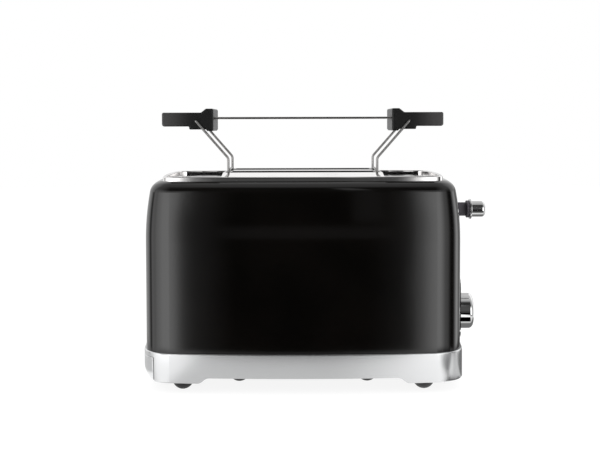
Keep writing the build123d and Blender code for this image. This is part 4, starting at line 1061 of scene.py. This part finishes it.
@dataclass(frozen=True)
class Floor:
    """Round pale floor, whose bright pool near the toaster lights the gloss of its skirt."""

    radius: float = 3.0
    corners: int = 96
    pale: Colour = (0.82, 0.82, 0.82)
    shade: Colour = (0.8, 0.8, 0.8)
    paper_glow: float = 1.12
    glow_share: float = 0.8
    half_length: float = 0.15
    half_depth: float = 0.084
    fade: Band = (0.135, 0.175)
    pool_level: float = 0.74
    left_rise: Band = (-0.128, -0.15)
    left_more: float = 0.48
    right_rise: Band = (0.02, 0.17)
    right_more: float = 0.52
    back_side: Band = (0.142, 0.16)
    back_depth: Band = (0.045, 0.015)
    back_shade: float = 0.85
    strip_left: Band = (0.148, 0.155)
    strip_right: Band = (0.195, 0.185)
    strip_back: Band = (0.028, 0.042)
    strip_front: Band = (0.115, 0.095)
    end_side: Band = (0.165, 0.185)
    end_front: Band = (0.11, 0.07)
    end_shade: float = 0.4
    far_side: Band = (0.185, 0.2)
    far_back: Band = (0.1, 0.12)
    far_shade: float = 0.9

    def build(self) -> None:
        """Makes the floor, which shows white, keeps a soft shadow and fades from reflections far away."""
        mesh = bmesh.new()
        bmesh.ops.create_circle(mesh, cap_ends=True, radius=self.radius, segments=self.corners)
        data = bpy.data.meshes.new("floor")
        mesh.to_mesh(data)
        mesh.free()
        floor = bpy.data.objects.new("floor", data)
        bpy.context.scene.collection.objects.link(floor)
        data.materials.append(self._paper())
        log.info("floor made")

    def _paper(self) -> bpy.types.Material:
        """Builds the floor's material.

        Returns:
            Paper that the camera sees nearly white, that lamps light and that gloss sees as the pool.
        """
        material = bpy.data.materials.new("floor_paper")
        material.use_nodes = True
        graph = Graph(material.node_tree)
        where = graph.place()
        right, forward = graph.axis(where, "X") - case_middle_x(), graph.axis(where, "Y") * -1.0
        past_x = (abs(right) - self.half_length).at_least(0.0)
        past_y = (abs(forward) - self.half_depth).at_least(0.0)
        distance = (past_x * past_x + past_y * past_y) ** 0.5
        tint = graph.noise(where, scale=9.0, detail=2.0)
        colour = graph.blend(tint, self.pale, self.shade)
        paper = graph.node("ShaderNodeBsdfDiffuse", inputs={"Color": colour})
        lift = graph.node("ShaderNodeEmission", inputs={"Strength": self.paper_glow})
        to_camera = graph.node("ShaderNodeMixShader", inputs={"Fac": self.glow_share, 1: paper, 2: lift})
        pool = graph.node("ShaderNodeEmission", inputs={"Strength": self._pool(right, forward)})
        clear = graph.node("ShaderNodeBsdfTransparent")
        away = distance.ramp(*self.fade)
        near = graph.node("ShaderNodeMixShader", inputs={"Fac": away, 1: pool, 2: clear})
        camera_ray = graph.node("ShaderNodeLightPath", output="Is Camera Ray")
        glossy_ray = graph.node("ShaderNodeLightPath", output="Is Glossy Ray")
        other = graph.node("ShaderNodeMixShader", inputs={"Fac": glossy_ray, 1: paper, 2: near})
        shader = graph.node("ShaderNodeMixShader", inputs={"Fac": camera_ray, 1: other, 2: to_camera})
        graph.node("ShaderNodeOutputMaterial", inputs={"Surface": shader})
        return material

    def _pool(self, right: Value, forward: Value) -> Value:
        """Brightness of the pool, with shades at the lever end that its chrome shows.

        Args:
            right: Metres to the right of the case's middle.
            forward: Metres in front of the case's middle.

        Returns:
            The brightness.
        """
        left_more = right.ramp(*self.left_rise) * self.left_more
        pool = self.pool_level + left_more + right.ramp(*self.right_rise) * self.right_more
        back = right.ramp(*self.back_side) * forward.ramp(*self.back_depth) * self.back_shade
        strip = right.ramp(*self.strip_left) * right.ramp(*self.strip_right)
        strip = strip * forward.ramp(*self.strip_back) * forward.ramp(*self.strip_front)
        end = abs(right).ramp(*self.end_side) * forward.ramp(*self.end_front) * self.end_shade
        far = right.ramp(*self.far_side) * forward.ramp(*self.far_back) * self.far_shade
        return pool * (1.0 - back.at_least(strip).at_least(end).at_least(far))


@dataclass(frozen=True)
class Studio:
    """Floor, surroundings, lamps and camera."""

    camera_distance: float = 954 * MM
    camera_height: float = 249.2 * MM
    horizon_pixels: float = 101.0
    pitch_down: float = math.radians(2.3)
    roll: float = math.radians(-0.15)
    focal_pixels: float = 960.0
    image_width: float = 600.0
    sensor_width: float = 36.0
    aim_pixels: float = 2.7
    clip: tuple[float, float] = (0.01, 20.0)
    lamp_aim: tuple[float, float, float] = (0.0, 0.0, 0.12)
    lamps: tuple[Lamp, ...] = (
        Lamp("left_softbox", (-1.2, -0.9, 0.9), size=0.9, power=9.0),
        Lamp("right_softbox", (1.2, -0.9, 0.9), size=0.9, power=9.0),
        Lamp("overhead_softbox", (0.0, 0.1, 1.7), size=1.4, power=12.0),
    )

    def build(self) -> None:
        """Sets up the whole studio."""
        bpy.context.scene.view_settings.view_transform = "Standard"
        self._camera()
        Room().build()
        Floor().build()
        for lamp in self.lamps:
            self._hang(lamp)

    def _camera(self) -> None:
        """Nearly level camera above the case's top, with the frame shifted down as in the photograph."""
        data = bpy.data.cameras.new("camera")
        data.sensor_width = self.sensor_width
        data.lens = self.focal_pixels / self.image_width * self.sensor_width
        shift_pixels = self.horizon_pixels - math.tan(self.pitch_down) * self.focal_pixels
        data.shift_y = -shift_pixels / self.image_width
        data.clip_start, data.clip_end = self.clip
        camera = bpy.data.objects.new("camera", data)
        side = self.aim_pixels / self.focal_pixels * self.camera_distance
        camera.location = (case_middle_x() - side, -self.camera_distance, self.camera_height)
        tilt = math.pi / 2 - self.pitch_down
        turn = Matrix.Rotation(tilt, 4, "X") @ Matrix.Rotation(self.roll, 4, "Z")
        camera.rotation_euler = turn.to_euler()
        bpy.context.scene.collection.objects.link(camera)
        bpy.context.scene.camera = camera
        log.info("camera placed %.3f m in front", self.camera_distance)

    def _hang(self, lamp: Lamp) -> None:
        """Hangs a lamp that is aimed at the middle of the case and that gloss doesn't show.

        Args:
            lamp: The lamp.
        """
        data = bpy.data.lights.new(lamp.name, "AREA")
        data.shape = "SQUARE"
        data.size = lamp.size
        data.energy = lamp.power
        hung = bpy.data.objects.new(lamp.name, data)
        hung.location = lamp.place
        aim = Vector(self.lamp_aim) - Vector(lamp.place)
        hung.rotation_euler = aim.to_track_quat("-Z", "Y").to_euler()
        hung.visible_glossy = False
        bpy.context.scene.collection.objects.link(hung)
        log.info("%s hung", lamp.name)


def main() -> None:
    """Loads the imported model, dresses it, adds the trim and sets up the studio."""
    logging.basicConfig(level=logging.INFO, format="%(name)s: %(message)s")
    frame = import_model()
    finishes = Finishes()
    case, controls = Case(finishes, frame), Controls(finishes, frame)
    for assembly in (case, Works(finishes, frame), controls, BunRack(finishes, frame)):
        assembly.dress_nodes()
    case.build()
    controls.build()
    Studio().build()


if __name__ == "__main__":
    main()
